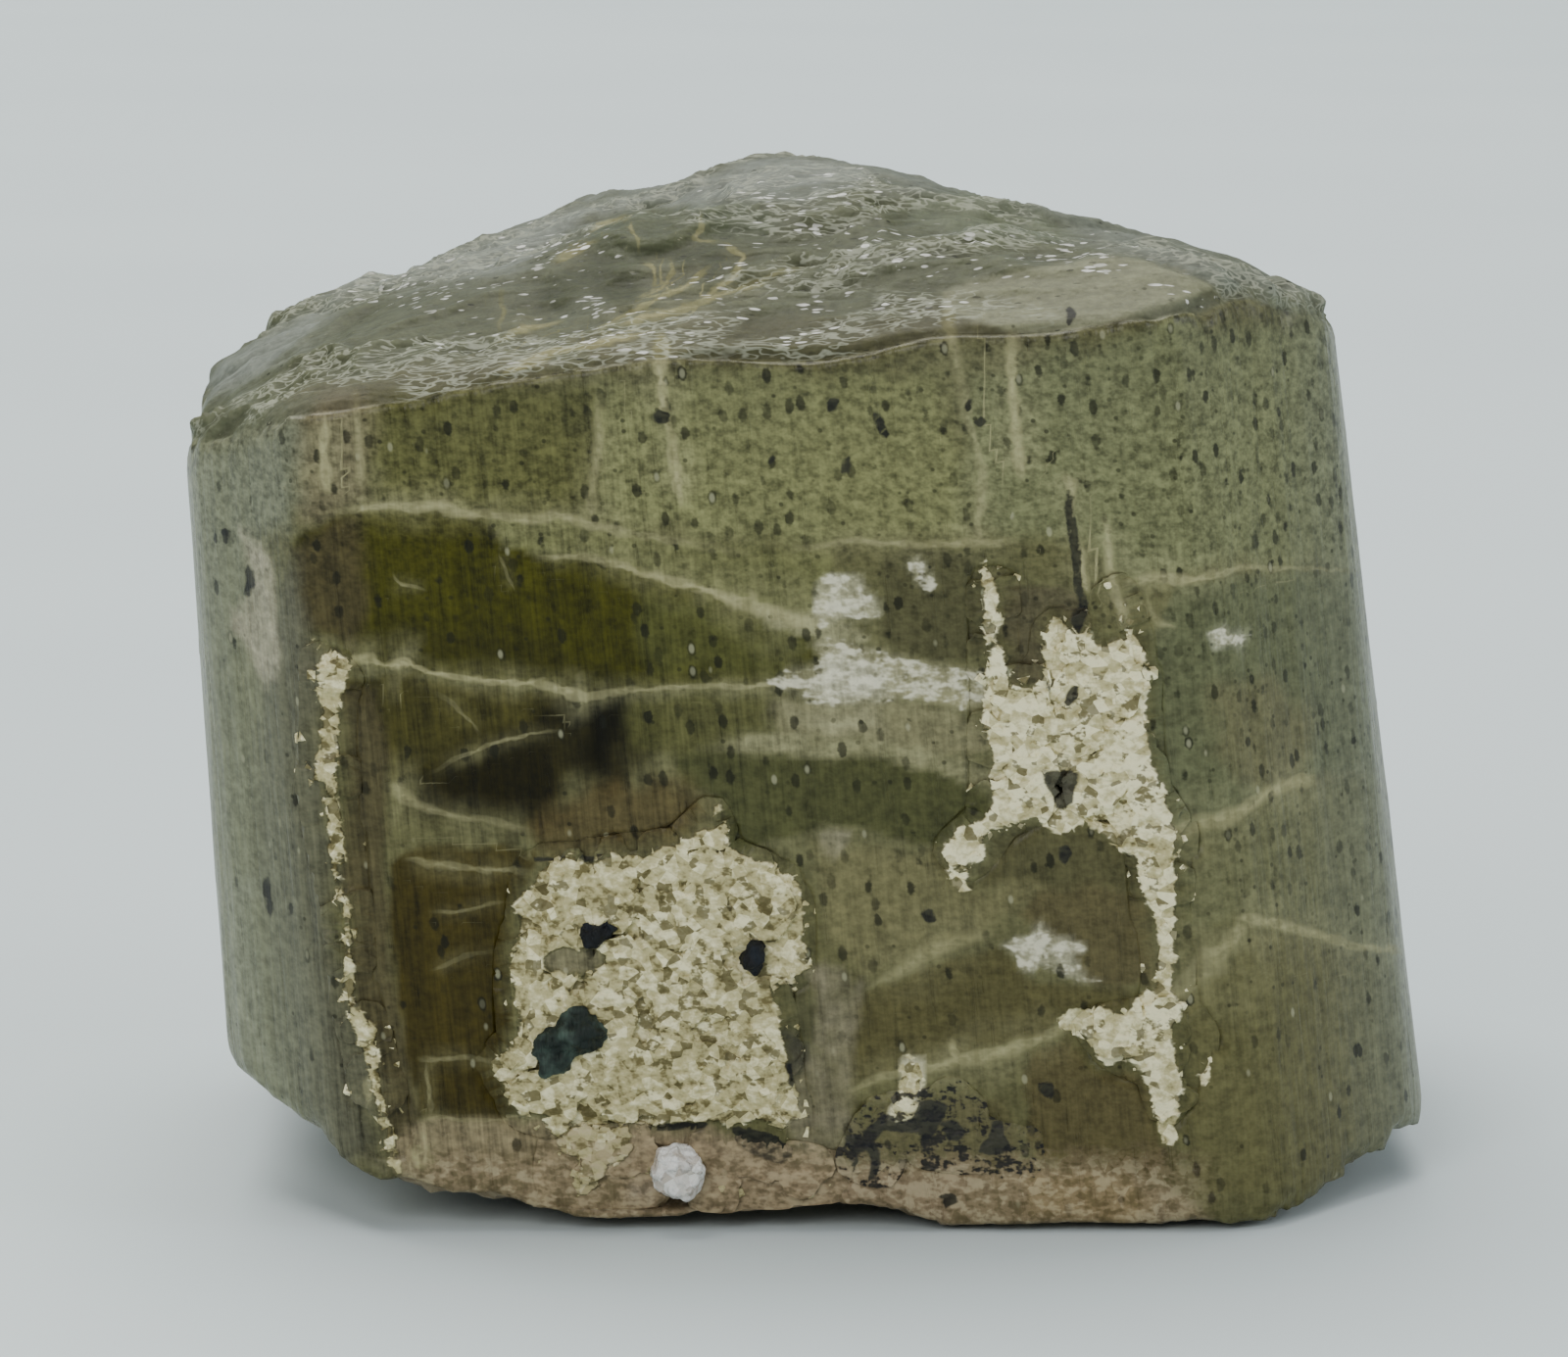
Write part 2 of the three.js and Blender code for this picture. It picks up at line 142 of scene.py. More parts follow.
def layered(points, layers, seed=0):
    """Swells with finer ones on them, from about -1 to 1."""
    total, weight, size = 0.0, 1.0, 1.0
    for layer in range(layers):
        total = total + weight * (2 * swells(points * size + 7.3 * layer, seed + layer) - 1)
        weight, size = weight * 0.5, size * 2.03
    return total


def crests(points, layers, seed=0):
    """Sharp ridges with finer ones on them, from 0 to about 1."""
    total, weight, size, most = 0.0, 1.0, 1.0, 0.0
    for layer in range(layers):
        ridge = 1 - np.abs(2 * swells(points * size + 3.1 * layer, seed + layer) - 1)
        total, most = total + weight * ridge * ridge, most + weight
        weight, size = weight * 0.5, size * 2.1
    return total / most


def step(low, high, value):
    """Rises smoothly from 0 at low to 1 at high."""
    t = np.clip((value - low) / (high - low), 0, 1)
    return t * t * (3 - 2 * t)


# Meshes


def copy_of(node, name):
    """A separate piece with a CAD node's shape and merged corners."""
    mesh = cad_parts[node].data.copy()
    mesh.name = name
    mesh.materials.clear()
    bm = bmesh.new()
    bm.from_mesh(mesh)
    bmesh.ops.remove_doubles(bm, verts=bm.verts, dist=MERGED * MM)
    bm.to_mesh(mesh)
    bm.free()
    piece = bpy.data.objects.new(name, mesh)
    bpy.context.collection.objects.link(piece)
    return piece


def settle(piece):
    """Turns what a piece's modifiers make into its own plain mesh."""
    plain = bpy.data.meshes.new_from_object(piece.evaluated_get(bpy.context.evaluated_depsgraph_get()))
    piece.modifiers.clear()
    piece.data = plain
    return piece


def even_skin(piece, size):
    """Gives a piece an even skin of small faces of one size."""
    remesh = piece.modifiers.new("even skin", "REMESH")
    remesh.mode = "VOXEL"
    remesh.voxel_size = size * MM
    return settle(piece)


def split_faces(mesh, chosen):
    """Splits the chosen faces of a mesh into four."""
    bm = bmesh.new()
    bm.from_mesh(mesh)
    edges = {edge for face in bm.faces if chosen(face) for edge in face.edges}
    bmesh.ops.subdivide_edges(bm, edges=list(edges), cuts=1, use_grid_fill=True)
    bm.to_mesh(mesh)
    bm.free()


def read_points(mesh):
    points = np.empty(len(mesh.vertices) * 3, dtype=np.float32)
    mesh.vertices.foreach_get("co", points)
    return points.reshape(-1, 3).astype(np.float64) / MM


def write_points(mesh, points):
    mesh.vertices.foreach_set("co", (points * MM).astype(np.float32).ravel())
    mesh.update()


def read_normals(mesh):
    normals = np.empty(len(mesh.vertices) * 3, dtype=np.float32)
    mesh.vertex_normals.foreach_get("vector", normals)
    return normals.reshape(-1, 3).astype(np.float64)


def store(mesh, fields):
    """Keeps values for each corner of a mesh, under their names, for its material."""
    for name, values in fields.items():
        kept = mesh.attributes.new(name, "FLOAT", "POINT").data
        kept.foreach_set("value", values.astype(np.float32))


def inside_box(points):
    """The points, moved where they would stand outside the solid's box."""
    low, high = [np.array(corner) / MM for corner in solid_box]
    return np.clip(points, low + INSET, high - INSET)


def averager(mesh):
    """A function that averages values over each corner's neighbours, a number of times."""
    edges = np.empty(len(mesh.edges) * 2, dtype=np.int64)
    mesh.edges.foreach_get("vertices", edges)
    a, b = edges.reshape(-1, 2).T
    corners = len(mesh.vertices)
    count = np.bincount(a, minlength=corners) + np.bincount(b, minlength=corners)

    def average(values, times):
        for _ in range(times):
            total = np.zeros_like(values)
            for k in range(values.shape[1]):
                near = np.bincount(a, values[b, k], corners) + np.bincount(b, values[a, k], corners)
                total[:, k] = near / count
            values = total
        return values

    return average


def gap_to(node, points, reach):
    """How far points are from a CAD node's surface, or reach where they are further."""
    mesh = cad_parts[node].data
    corners = [corner.co / MM for corner in mesh.vertices]
    tree = BVHTree.FromPolygons(corners, [tuple(face.vertices) for face in mesh.polygons])
    low, high = [np.array(corner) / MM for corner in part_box(node)]
    close = np.all((points > low - reach) & (points < high + reach), axis=1)
    gaps = np.full(len(points), float(reach))
    for k in np.nonzero(close)[0]:
        away = tree.find_nearest(Vector(points[k]), reach)[3]
        if away is not None:
            gaps[k] = away
    return gaps


# The crystal's shape

FILLINGS = (
    "lower_matrix_patch",
    "upper_matrix_patch",
    "left_matrix_vein",
    "base_matrix_seam",
    "back_matrix_patch",
    "dark_base_cluster",
)
FILLING_REACH = 1.6  # nearer than this to a filling, an edge belongs to its pocket


def lean_back(points):
    """The points with the crystal's lean taken out, so that its long axis is upright."""
    upright = points.copy()
    upright[:, 0] += LEAN * (points[:, 2] - MID_HEIGHT)
    return upright


def hackles(points):
    """The broken ends' relief, long crests split by finer ones, and where the fine ones show, from 0 to 1."""
    drift = points / HACKLE_DRIFT_SIZE
    warp = np.column_stack([layered(drift, 2, 11), layered(drift, 2, 23), 0 * points[:, 0]])
    spots = points + HACKLE_DRIFT * warp
    calm = step(0.38, 0.62, swells(spots / CALM_SIZE, 37))
    long, middle, fine = [
        height * (crests(spots / size, layers, seed) - 0.35) for height, size, layers, seed in HACKLES
    ]
    return long + (middle + fine) * (0.15 + 0.85 * calm), calm


def shape_crystal():
    """The crystal's body: worn and striated faces, hackly ends, and nicks along its edges."""
    piece = even_skin(copy_of("crystal", "crystal_body"), CRYSTAL_SKIN)
    split_faces(piece.data, lambda face: face.normal.y < -0.75 or face.normal.z > 0.6)
    mesh = piece.data
    average = averager(mesh)
    points = average(read_points(mesh), CRYSTAL_ROUNDS)
    write_points(mesh, points)
    soft = average(read_normals(mesh), DIRECTION_ROUNDS)
    length = np.linalg.norm(soft, axis=1, keepdims=True)
    clear = np.min([gap_to(node, points, FILLING_REACH) for node in FILLINGS], axis=0)
    edge = step(0.03, 0.2, 1 - length[:, 0]) * step(0.6, 1.5, clear)
    normals = soft / np.maximum(length, 1e-6)
    top, base = step(0.4, 0.72, normals[:, 2]), step(0.4, 0.72, -normals[:, 2])
    side = 1 - top - base
    points += (average(points, END_ROUNDS) - points) * top[:, None]
    worn = step(0.15, 0.6, edge) * step(-0.1, 0.25, normals[:, 2])
    points += (average(points, EDGE_ROUNDS) - points) * worn[:, None]

    upright = lean_back(points)
    striae = STRIAE * layered(upright / STRIA_SIZE, 3, 3)
    striae += FURROWS * (crests(upright / FURROW_SIZE, 1, 5) - 0.5)
    rough, calm = hackles(points)
    pitted = -PITS * crests(points / PIT_SIZE, 2, 61) - DIMPLES * swells(points / DIMPLE_SIZE, 67)
    nicks = -NICKS * step(0.05, 0.75, layered(points / NICK_SIZE, 3, 71)) - EDGE_WEAR
    away = points[:, 1] - FRONT
    rough *= 0.12 + 0.88 * step(0.5, 5.0, away)
    nicked = edge * (1 - step(3.5, 1.5, away) * step(-0.2, 0.2, normals[:, 2]))
    points += normals * (side * striae + top * rough + base * pitted + nicked * nicks)[:, None]
    points = inside_box(points)
    points[:, 2] = np.maximum(points[:, 2], 0)
    write_points(mesh, points)

    lift = ((points - average(points, RIDGE_ROUNDS)) * normals).sum(axis=1)
    store(mesh, {"top": top, "base": base, "lift": lift, "calm": calm})
    paint_zones(mesh, points, top=top)
    mesh.shade_smooth()
    return piece


# Finishes


def paint(code):
    """The colour of a six-figure code, as red, green, blue shares of light and full cover."""
    shares = [int(code[k : k + 2], 16) / 255 for k in (0, 2, 4)]
    light = [s / 12.92 if s <= 0.04045 else ((s + 0.055) / 1.055) ** 2.4 for s in shares]
    return (*light, 1.0)


class Field:
    """A value that varies over a surface: the output of a node in a finish."""

    def __init__(self, finish, socket):
        self.finish, self.socket = finish, socket

    def math(self, operation, *others):
        return self.finish.add("ShaderNodeMath", (self, *others), operation=operation)

    def __add__(self, other):
        return self.math("ADD", other)

    def __sub__(self, other):
        return self.math("SUBTRACT", other)

    def __mul__(self, other):
        return self.math("MULTIPLY", other)

    def size(self):
        return self.math("ABSOLUTE")

    def least(self, other):
        return self.math("MINIMUM", other)

    def most(self, other):
        return self.math("MAXIMUM", other)

    def flip(self):
        """One less the value."""
        return (self * -1.0) + 1.0

    def fade(self, low, high):
        """Rises smoothly from 0 where the value is low to 1 where it is high."""
        values = (self, low, high, 0.0, 1.0)
        return self.finish.add("ShaderNodeMapRange", values, interpolation_type="SMOOTHSTEP")


class Finish:
    """A material made of nodes. Its lengths are millimetres, in the object's own coordinates."""

    def __init__(self, name):
        self.material = bpy.data.materials.new(name)
        self.material.use_nodes = True
        self.tree = self.material.node_tree
        self.tree.nodes.clear()
        where = self.tree.nodes.new("ShaderNodeTexCoord").outputs["Object"]
        self.spot = self.vector("MULTIPLY", where, (1 / MM,) * 3)
        parts = self.tree.nodes.new("ShaderNodeSeparateXYZ")
        self.feed(parts.inputs[0], self.spot)
        self.x, y, self.z = [Field(self, socket) for socket in parts.outputs]
        self.along = self.x + (self.z - MID_HEIGHT) * LEAN
        self.upright = self.add("ShaderNodeCombineXYZ", (self.along, y, self.z))

    def feed(self, socket, value):
        """Links a socket to a field or an output, or else gives it the value."""
        if isinstance(value, Field):
            self.tree.links.new(value.socket, socket)
        elif isinstance(value, bpy.types.NodeSocket):
            self.tree.links.new(value, socket)
        else:
            socket.default_value = value

    def add(self, kind, values=(), **settings):
        """Adds a node, fills its first inputs with the values, and gives back its first output."""
        node = self.tree.nodes.new(kind)
        for name, setting in settings.items():
            setattr(node, name, setting)
        for socket, value in zip(node.inputs, values):
            if value is not None:
                self.feed(socket, value)
        return Field(self, node.outputs[0])

    def vector(self, operation, a, b):
        return self.add("ShaderNodeVectorMath", (a, b), operation=operation)

    def stretched(self, sizes, shift=0.0, upright=True):
        """Coordinates in which one unit is that many millimetres along x, y and z."""
        spot = self.upright if upright else self.spot
        scaled = self.vector("DIVIDE", spot, tuple(float(s) for s in sizes))
        return self.vector("ADD", scaled, (shift, shift * 1.7, shift * 0.6))

    def cloud(self, sizes, shift=0.0, detail=2.0, rough=0.5, upright=True):
        """Noise from 0 to 1 whose swells are about that many millimetres across."""
        where = self.stretched(sizes, shift, upright)
        return self.add("ShaderNodeTexNoise", (where, None, 1.0, detail, rough))

    def grains(self, where):
        """Cells about one unit across: the distance to a cell's middle, and its random colour."""
        node = self.tree.nodes.new("ShaderNodeTexVoronoi")
        self.feed(node.inputs["Vector"], where)
        node.inputs["Scale"].default_value = 1.0
        return Field(self, node.outputs["Distance"]), Field(self, node.outputs["Color"])

    def channels(self, colour):
        """The red, green and blue of a colour."""
        node = self.tree.nodes.new("ShaderNodeSeparateColor")
        self.feed(node.inputs[0], colour)
        return [Field(self, socket) for socket in node.outputs]

    def blend(self, share, first, second):
        """The first colour or place where the share is 0, and the second where it is 1."""
        node = self.tree.nodes.new("ShaderNodeMix")
        node.data_type = "RGBA"
        self.feed(node.inputs[0], share)
        self.feed(node.inputs[6], paint(first) if isinstance(first, str) else first)
        self.feed(node.inputs[7], paint(second) if isinstance(second, str) else second)
        return Field(self, node.outputs[2])

    def tint(self, colour, strength):
        """The colour made lighter or darker: times strength."""
        values = (colour, None, None, strength)
        return self.add("ShaderNodeVectorMath", values, operation="SCALE")

    def attribute(self, name, kind="Fac"):
        """What a mesh keeps under that name."""
        node = self.tree.nodes.new("ShaderNodeAttribute")
        node.attribute_name = name
        return Field(self, node.outputs[kind])

    def bumps(self, height, depth):
        """A surface normal that stands out by depth millimetres where the height is 1."""
        node = self.tree.nodes.new("ShaderNodeBump")
        node.inputs["Strength"].default_value = 1.0
        node.inputs["Distance"].default_value = depth * MM
        self.feed(node.inputs["Height"], height)
        return Field(self, node.outputs[0])

    def shade(self, **values):
        """The surface's shader, with each value on the socket of that name, and the finished material."""
        node = self.tree.nodes.new("ShaderNodeBsdfPrincipled")
        for name, value in values.items():
            self.feed(node.inputs[name.replace("_", " ")], value)
        self.out = self.tree.nodes.new("ShaderNodeOutputMaterial")
        self.tree.links.new(node.outputs[0], self.out.inputs["Surface"])
        return self.material


# What is drawn on the crystal. Everything on its front and its broken top is outlined along x and z, as it
# is seen from the front.

# The one smooth grain in the lower patch
SMOOTH_GRAIN = [
    -9.1, 9.8, -8.8, 10.1, -8.1, 10.3, -7.3, 10.2, -6.9, 10, -6.9, 9.6, -7.5, 9.3, -8.3, 9.3, -8.9, 9.4,
]
# The front's areas, lowest layer first: colour, cover, how soft the edge is, and the outline
AREAS = {
    "above the wedge, olive": ("5c5c32", 0.75, 0.5, [
        -15.2, 29.7, -11.8, 29.9, -7.1, 29.9, -7.1, 25.6, -8.8, 25.5, -10.8, 25.5, -12.5, 25.8, -14.9,
        25.8, -15.2, 27.7,
    ]),
    "left of it, brownish": ("787056", 0.7, 0.6, [
        -17.6, 30.2, -15.2, 29.7, -14.9, 25.8, -15.9, 25.6, -17.3, 25.1, -17.6, 27,
    ]),
    "upper middle": ("7f8056", 0.8, 0.5, [
        -7, 29.9, -2.1, 30.4, 4.7, 30.4, 5.5, 27.3, 5.5, 24.8, 1, 24.5, -3.4, 24.8, -7, 25.3,
    ]),
    "upper right": ("7a7d59", 0.8, 0.5, [
        5.5, 30.4, 12.1, 32.1, 17.9, 32.1, 18.7, 27, 19.1, 23.7, 14.8, 23.6, 11.5, 23.4, 9.4, 24.2, 5.5,
        24.8,
    ]),
    "between the upper veils": ("6e6f46", 0.8, 0.12, [
        -10.8, 25.3, -8.8, 25.3, -6.8, 24.9, -4.1, 24.5, -0.7, 24.2, 1, 24.1, 0.7, 22.2, -1.4, 22.1, -3.4,
        22.9, -6.1, 23.7, -8.8, 24.1, -10.4, 24.2,
    ]),
    "wedge": ("3f3e06", 0.96, 0.06, [
        -17.7, 24.2, -17.4, 24.8, -16.7, 25, -16.1, 25.4, -15.4, 25.5, -14.2, 25.6, -12.5, 25.5, -11.5,
        25.4, -10.8, 25.2, -10.6, 24.7, -10.3, 24.2, -9.3, 24, -7.5, 23.9, -6.1, 23.6, -4.4, 23.1, -2.6,
        22.5, -1.8, 22, -0.7, 21.4, 0.4, 21, 0.6, 20.7, 0.4, 20.3, -0.5, 20.1, -1.2, 19.6, -2.7, 19.5,
        -4.8, 19.4, -7.5, 19.2, -8.8, 19.4, -10.8, 19.6, -12.9, 19.9, -13.5, 20.1, -14.6, 20.1, -15.2,
        20.4, -15.8, 20.5, -16.2, 21.2, -17, 21.3, -17.4, 21.8, -17.6, 22.9,
    ]),
    "wedge, brown left end": ("4c442d", 0.8, 0.35, [
        -17.7, 24.2, -16.1, 25.3, -15.4, 25.5, -15.2, 24.2, -15.2, 22.2, -15.4, 20.5, -16.1, 21, -17.4,
        21.5, -17.6, 22.9,
    ]),
    "wedge, green right end": ("52542c", 0.75, 0.5, [
        -6.1, 22.9, -2.7, 22.4, -1, 21.5, 0.3, 20.8, -0.7, 20.1, -2.7, 19.6, -5.4, 19.6, -6.1, 21.2,
    ]),
    "wedge, dark low edge": ("32300e", 0.6, 0.5, [
        -14.9, 21.5, -8.8, 21.2, -6.8, 19.8, -8.8, 19.4, -12.9, 19.9, -14.7, 20.3,
    ]),
    "under the middle veil, left": ("3c380c", 0.85, 0.15, [
        -17.6, 19.3, -14.2, 19.8, -12.5, 19.6, -8.8, 19.2, -7.8, 19, -8.8, 17.9, -10.8, 17.3, -12.9, 16.4,
        -14.2, 16.1, -14.7, 17.4, -15.2, 19.1,
    ]),
    "dark heart": ("2c2604", 0.85, 0.9, [
        -13.2, 16, -11.5, 16.9, -9.5, 17.7, -8.8, 18.9, -7.5, 19, -5.9, 18.9, -5.8, 17.9, -5.8, 16.7, -6.1,
        16, -7.5, 16, -8.3, 15, -9.3, 14.5, -10.8, 14.6, -12.5, 15.3,
    ]),
    "darkest heart": ("0c0a00", 0.97, 1.0, [
        -8.8, 18.4, -8.1, 18.9, -7.4, 19.3, -6.7, 19.5, -5.9, 19.1, -5.7, 18.5, -6.2, 17.9, -6.3, 17, -6.8,
        16.1, -7.5, 15.9, -8, 16.8, -8.1, 17.6,
    ]),
    "dark heart, left": ("1a1600", 0.9, 0.9, [
        -12.9, 16.3, -10.8, 17.1, -9.1, 17.7, -8.3, 16.4, -8.8, 15, -10, 14.6, -11.5, 14.9, -13.2, 15.4,
    ]),
    "right of the heart": ("54542e", 0.8, 0.3, [
        -6.1, 19, -4.1, 19.2, -1.4, 19.2, -1.2, 17.9, -2.7, 17.7, -4.1, 17, -5.8, 17.4,
    ]),
    "dark under the tail": ("464828", 0.85, 0.1, [
        -2.7, 17.2, -1, 17.1, 1, 16.9, 2.7, 16.9, 4.7, 16.4, 6.3, 15.8, 6.4, 14.8, 5, 14.5, 4.9, 13.8, 2.7,
        14.3, 0.7, 14.6, -1.4, 13.9, -2.6, 13.6, -2.8, 15.3, -4.1, 16, -4.4, 16.9,
    ]),
    "brown above the patch": ("54482a", 0.8, 0.5, [
        -9.5, 14.5, -7.5, 16, -4.1, 16, -3.1, 15, -3.2, 14.4, -6.1, 13.7, -8.8, 13.5,
    ]),
    "brown foot": ("3b3208", 0.93, 0.15, [
        -14.3, 13.3, -13.4, 13.8, -10.8, 13.9, -9.3, 13.5, -9.5, 12.4, -10.2, 11.5, -10.3, 9.1, -10.1, 7.4,
        -10.8, 6.2, -10.2, 4.7, -9.5, 4.3, -11.5, 4.3, -13.2, 4.4, -13.8, 6.4, -14.1, 9.1, -14.3, 11.2,
    ]),
    "beside the vein": ("4f4830", 0.85, 0.2, [
        -15.9, 19.4, -14.7, 19.3, -14.3, 16, -14.3, 12.6, -14.1, 9.1, -13.8, 6.4, -13.2, 4.4, -13.9, 2.6,
        -14.4, 3.7, -14.7, 6.1, -15.3, 7.8, -15.6, 9.8, -15.8, 12.6, -15.9, 16,
    ]),
    "left of the vein": ("61604e", 0.85, 0.5, [
        -17.6, 24.2, -17.3, 21.5, -16.7, 19.4, -16.7, 16.7, -16.4, 14.3, -16.1, 10.5, -15.9, 8.5, -15.1,
        5.4, -14.4, 2.6, -16.6, 3, -18.3, 5.4, -19.1, 7.4, -19.3, 12.6, -19.1, 19.4,
    ]),
    # The left facet's lighter grey: partly its own colour, partly painted reflection.
    "left bevel": ("797c66", 0.85, 0.5, [
        -21.1, 27.3, -19.6, 29.7, -17.6, 29.7, -17.6, 24.9, -19.1, 24.2, -19.4, 19.4, -19.3, 12.6, -19,
        7.1, -19.8, 7.8, -20.1, 12.6, -20.6, 19.4, -21.3, 24.2,
    ]),
    "middle right of the heart": ("807c5c", 0.9, 0.12, [
        -1.2, 18.9, 0.3, 18.9, 1.3, 18.7, 3, 19, 4.9, 18.7, 6.2, 17.9, 6.3, 17.1, 5.2, 17, 3.7, 17.2, 2.3,
        17.5, 0.7, 17.7, -0.9, 17.8,
    ]),
    "grey right of the upper patch": ("63674a", 0.85, 0.1, [
        11.9, 20.8, 12.8, 22.9, 14.2, 23.3, 16.9, 23.4, 19.1, 23.4, 19.6, 19.4, 19.7, 16.7, 17.5, 16.4,
        15.9, 15.7, 14.2, 14.8, 12.8, 14.5, 12.1, 16.4, 12, 18.8,
    ]),
    "brown in it": ("6c6748", 0.65, 0.5, [
        14, 19.4, 16.2, 19.6, 17.5, 18.1, 17.2, 16.5, 15.5, 16, 14, 17,
    ]),
    "dark left of the upper patch": ("504e34", 0.85, 0.1, [
        2.7, 23.9, 3.4, 24.2, 5.4, 24.2, 6.2, 24.1, 6.2, 22.9, 6.7, 21.5, 6.6, 20.5, 5.2, 20.3, 3.7, 20.5,
        2.8, 21, 2.6, 21.8,
    ]),
    "dark in the upper patch's arms": ("58523c", 0.85, 0.1, [
        6.8, 22.9, 7.7, 22.9, 9.4, 22.9, 9.6, 21.7, 9.1, 21.5, 8.4, 22, 8.2, 19.4, 7.2, 19.4, 7, 20.6, 6.8,
        21.5,
    ]),
    "under the upper patch": ("535034", 0.85, 0.1, [
        6.5, 13.9, 7.9, 14.6, 8.6, 14.3, 9.4, 14.5, 10.8, 14.1, 11.5, 12.9, 11.6, 12.4, 9.4, 12.4, 7.7,
        12.4, 6.1, 12.6,
    ]),
    "between the low veils": ("6c6c4c", 0.85, 0.12, [
        13, 14.1, 14.5, 14.6, 16.2, 15.5, 17.7, 15.8, 19.7, 16.4, 20.2, 12.6, 20.4, 10.3, 17.9, 10.8, 15.9,
        11.4, 14.9, 11.5, 13.3, 10.9, 13, 12.6,
    ]),
    "right foot": ("63603e", 0.85, 0.12, [
        13.3, 8.5, 14.9, 9.7, 15.9, 10.9, 17.5, 10.5, 20.4, 10, 20.9, 6.1, 20.9, 4, 18.9, 2.3, 16.2, 1.8,
        13.3, 1.6, 13, 3.3, 13.3, 5.7, 13.1, 7.4,
    ]),
    "middle foot, upper": ("75714e", 0.85, 0.3, [
        0.3, 13.9, 2.7, 13.6, 4.9, 13.3, 5.2, 12.1, 8.1, 12.4, 6.1, 10.9, 3.7, 10.1, 2, 9.1, 1, 10.5, 0.3,
        12.6,
    ]),
    "brown under it": ("5c5437", 0.8, 0.2, [
        8.1, 12.2, 9.8, 12.4, 11.6, 12.1, 12.1, 9.1, 10.1, 9, 8.1, 10.9, 7.6, 11.4,
    ]),
    "middle foot, dark": ("585332", 0.9, 0.1, [
        1.7, 8.6, 3, 9.1, 4.7, 9.7, 6.7, 10.2, 7.7, 9.1, 10.4, 8.8, 11.8, 8.6, 11.1, 7.9, 9.1, 8.1, 8.1,
        7.2, 6.1, 6.6, 3.4, 6.1, 1.6, 5.5, 1.5, 7.1,
    ]),
    "right middle foot": ("5c5435", 0.9, 0.12, [
        7.7, 6.8, 9.1, 7, 9.9, 5.9, 11.6, 5.8, 12.1, 4.7, 12.3, 3.5, 12.6, 3.2, 12.1, 2.1, 9.4, 2.7, 7.8,
        2.6, 7.6, 5,
    ]),
    "foot beside the lower patch": ("58573c", 0.85, 0.15, [
        -0.7, 9, 0.2, 9.5, 0.5, 7.8, 0.4, 6.1, -0.2, 5.7, -0.6, 6.1, -0.7, 7.4,
    ]),
    # Paler low on the left edge: partly its own colour, partly painted reflection.
    "left rim, low": ("a9ad98", 0.85, 0.5, [
        -20.3, 12.7, -18.8, 12.7, -18.5, 7.3, -17.9, 5.5, -19.6, 6.9,
    ]),
    "ground of the cluster": ("5d583a", 0.8, 0.15, [
        1.4, 4, 2.8, 4.7, 4.7, 5, 6.7, 4.9, 7.6, 3.7, 7.4, 2.6, 4.7, 2.4, 2.7, 2.3, 1.7, 2.6,
    ]),
    "smooth dark spot": ("47453a", 0.8, 0.15, [
        -0.8, 7.3, -0.3, 7.2, 0.2, 6.9, 0.3, 6.2, -0.2, 5.7, -0.7, 6,
    ]),
    "smooth grey grain in the lower patch": ("7c775b", 0.95, 0.12, SMOOTH_GRAIN),
    "bottom band": ("8f8264", 0.9, 0.1, [
        -14.4, 3.5, -13.2, 4.3, -11.5, 4.3, -9.3, 4.2, -7.5, 3.9, -4.1, 3.8, -2.1, 3.6, -0.7, 2.7, 2, 2.6,
        4.4, 2.2, 6.1, 2.4, 9.4, 2.7, 12.1, 2.1, 13.3, 1.4, 14.7, 0.2, 12.8, -0.3, -0.7, -0.3, -10.8, 0.2,
        -13.5, 1.4,
    ]),
    "bottom band, reddish": ("8d7c64", 0.75, 0.4, [
        -6.8, 3.7, -2.1, 3.3, 1.7, 2.5, 6.1, 2.3, 4.7, 0.7, -0.7, 0.2, -4.8, 0.2, -6.1, 1.4,
    ]),
    "bottom band, tan": ("a08c60", 0.7, 0.4, [
        7.7, 2.5, 11.1, 2.3, 11.8, 1.4, 10.8, 0.7, 7.7, 0.7,
    ]),
}
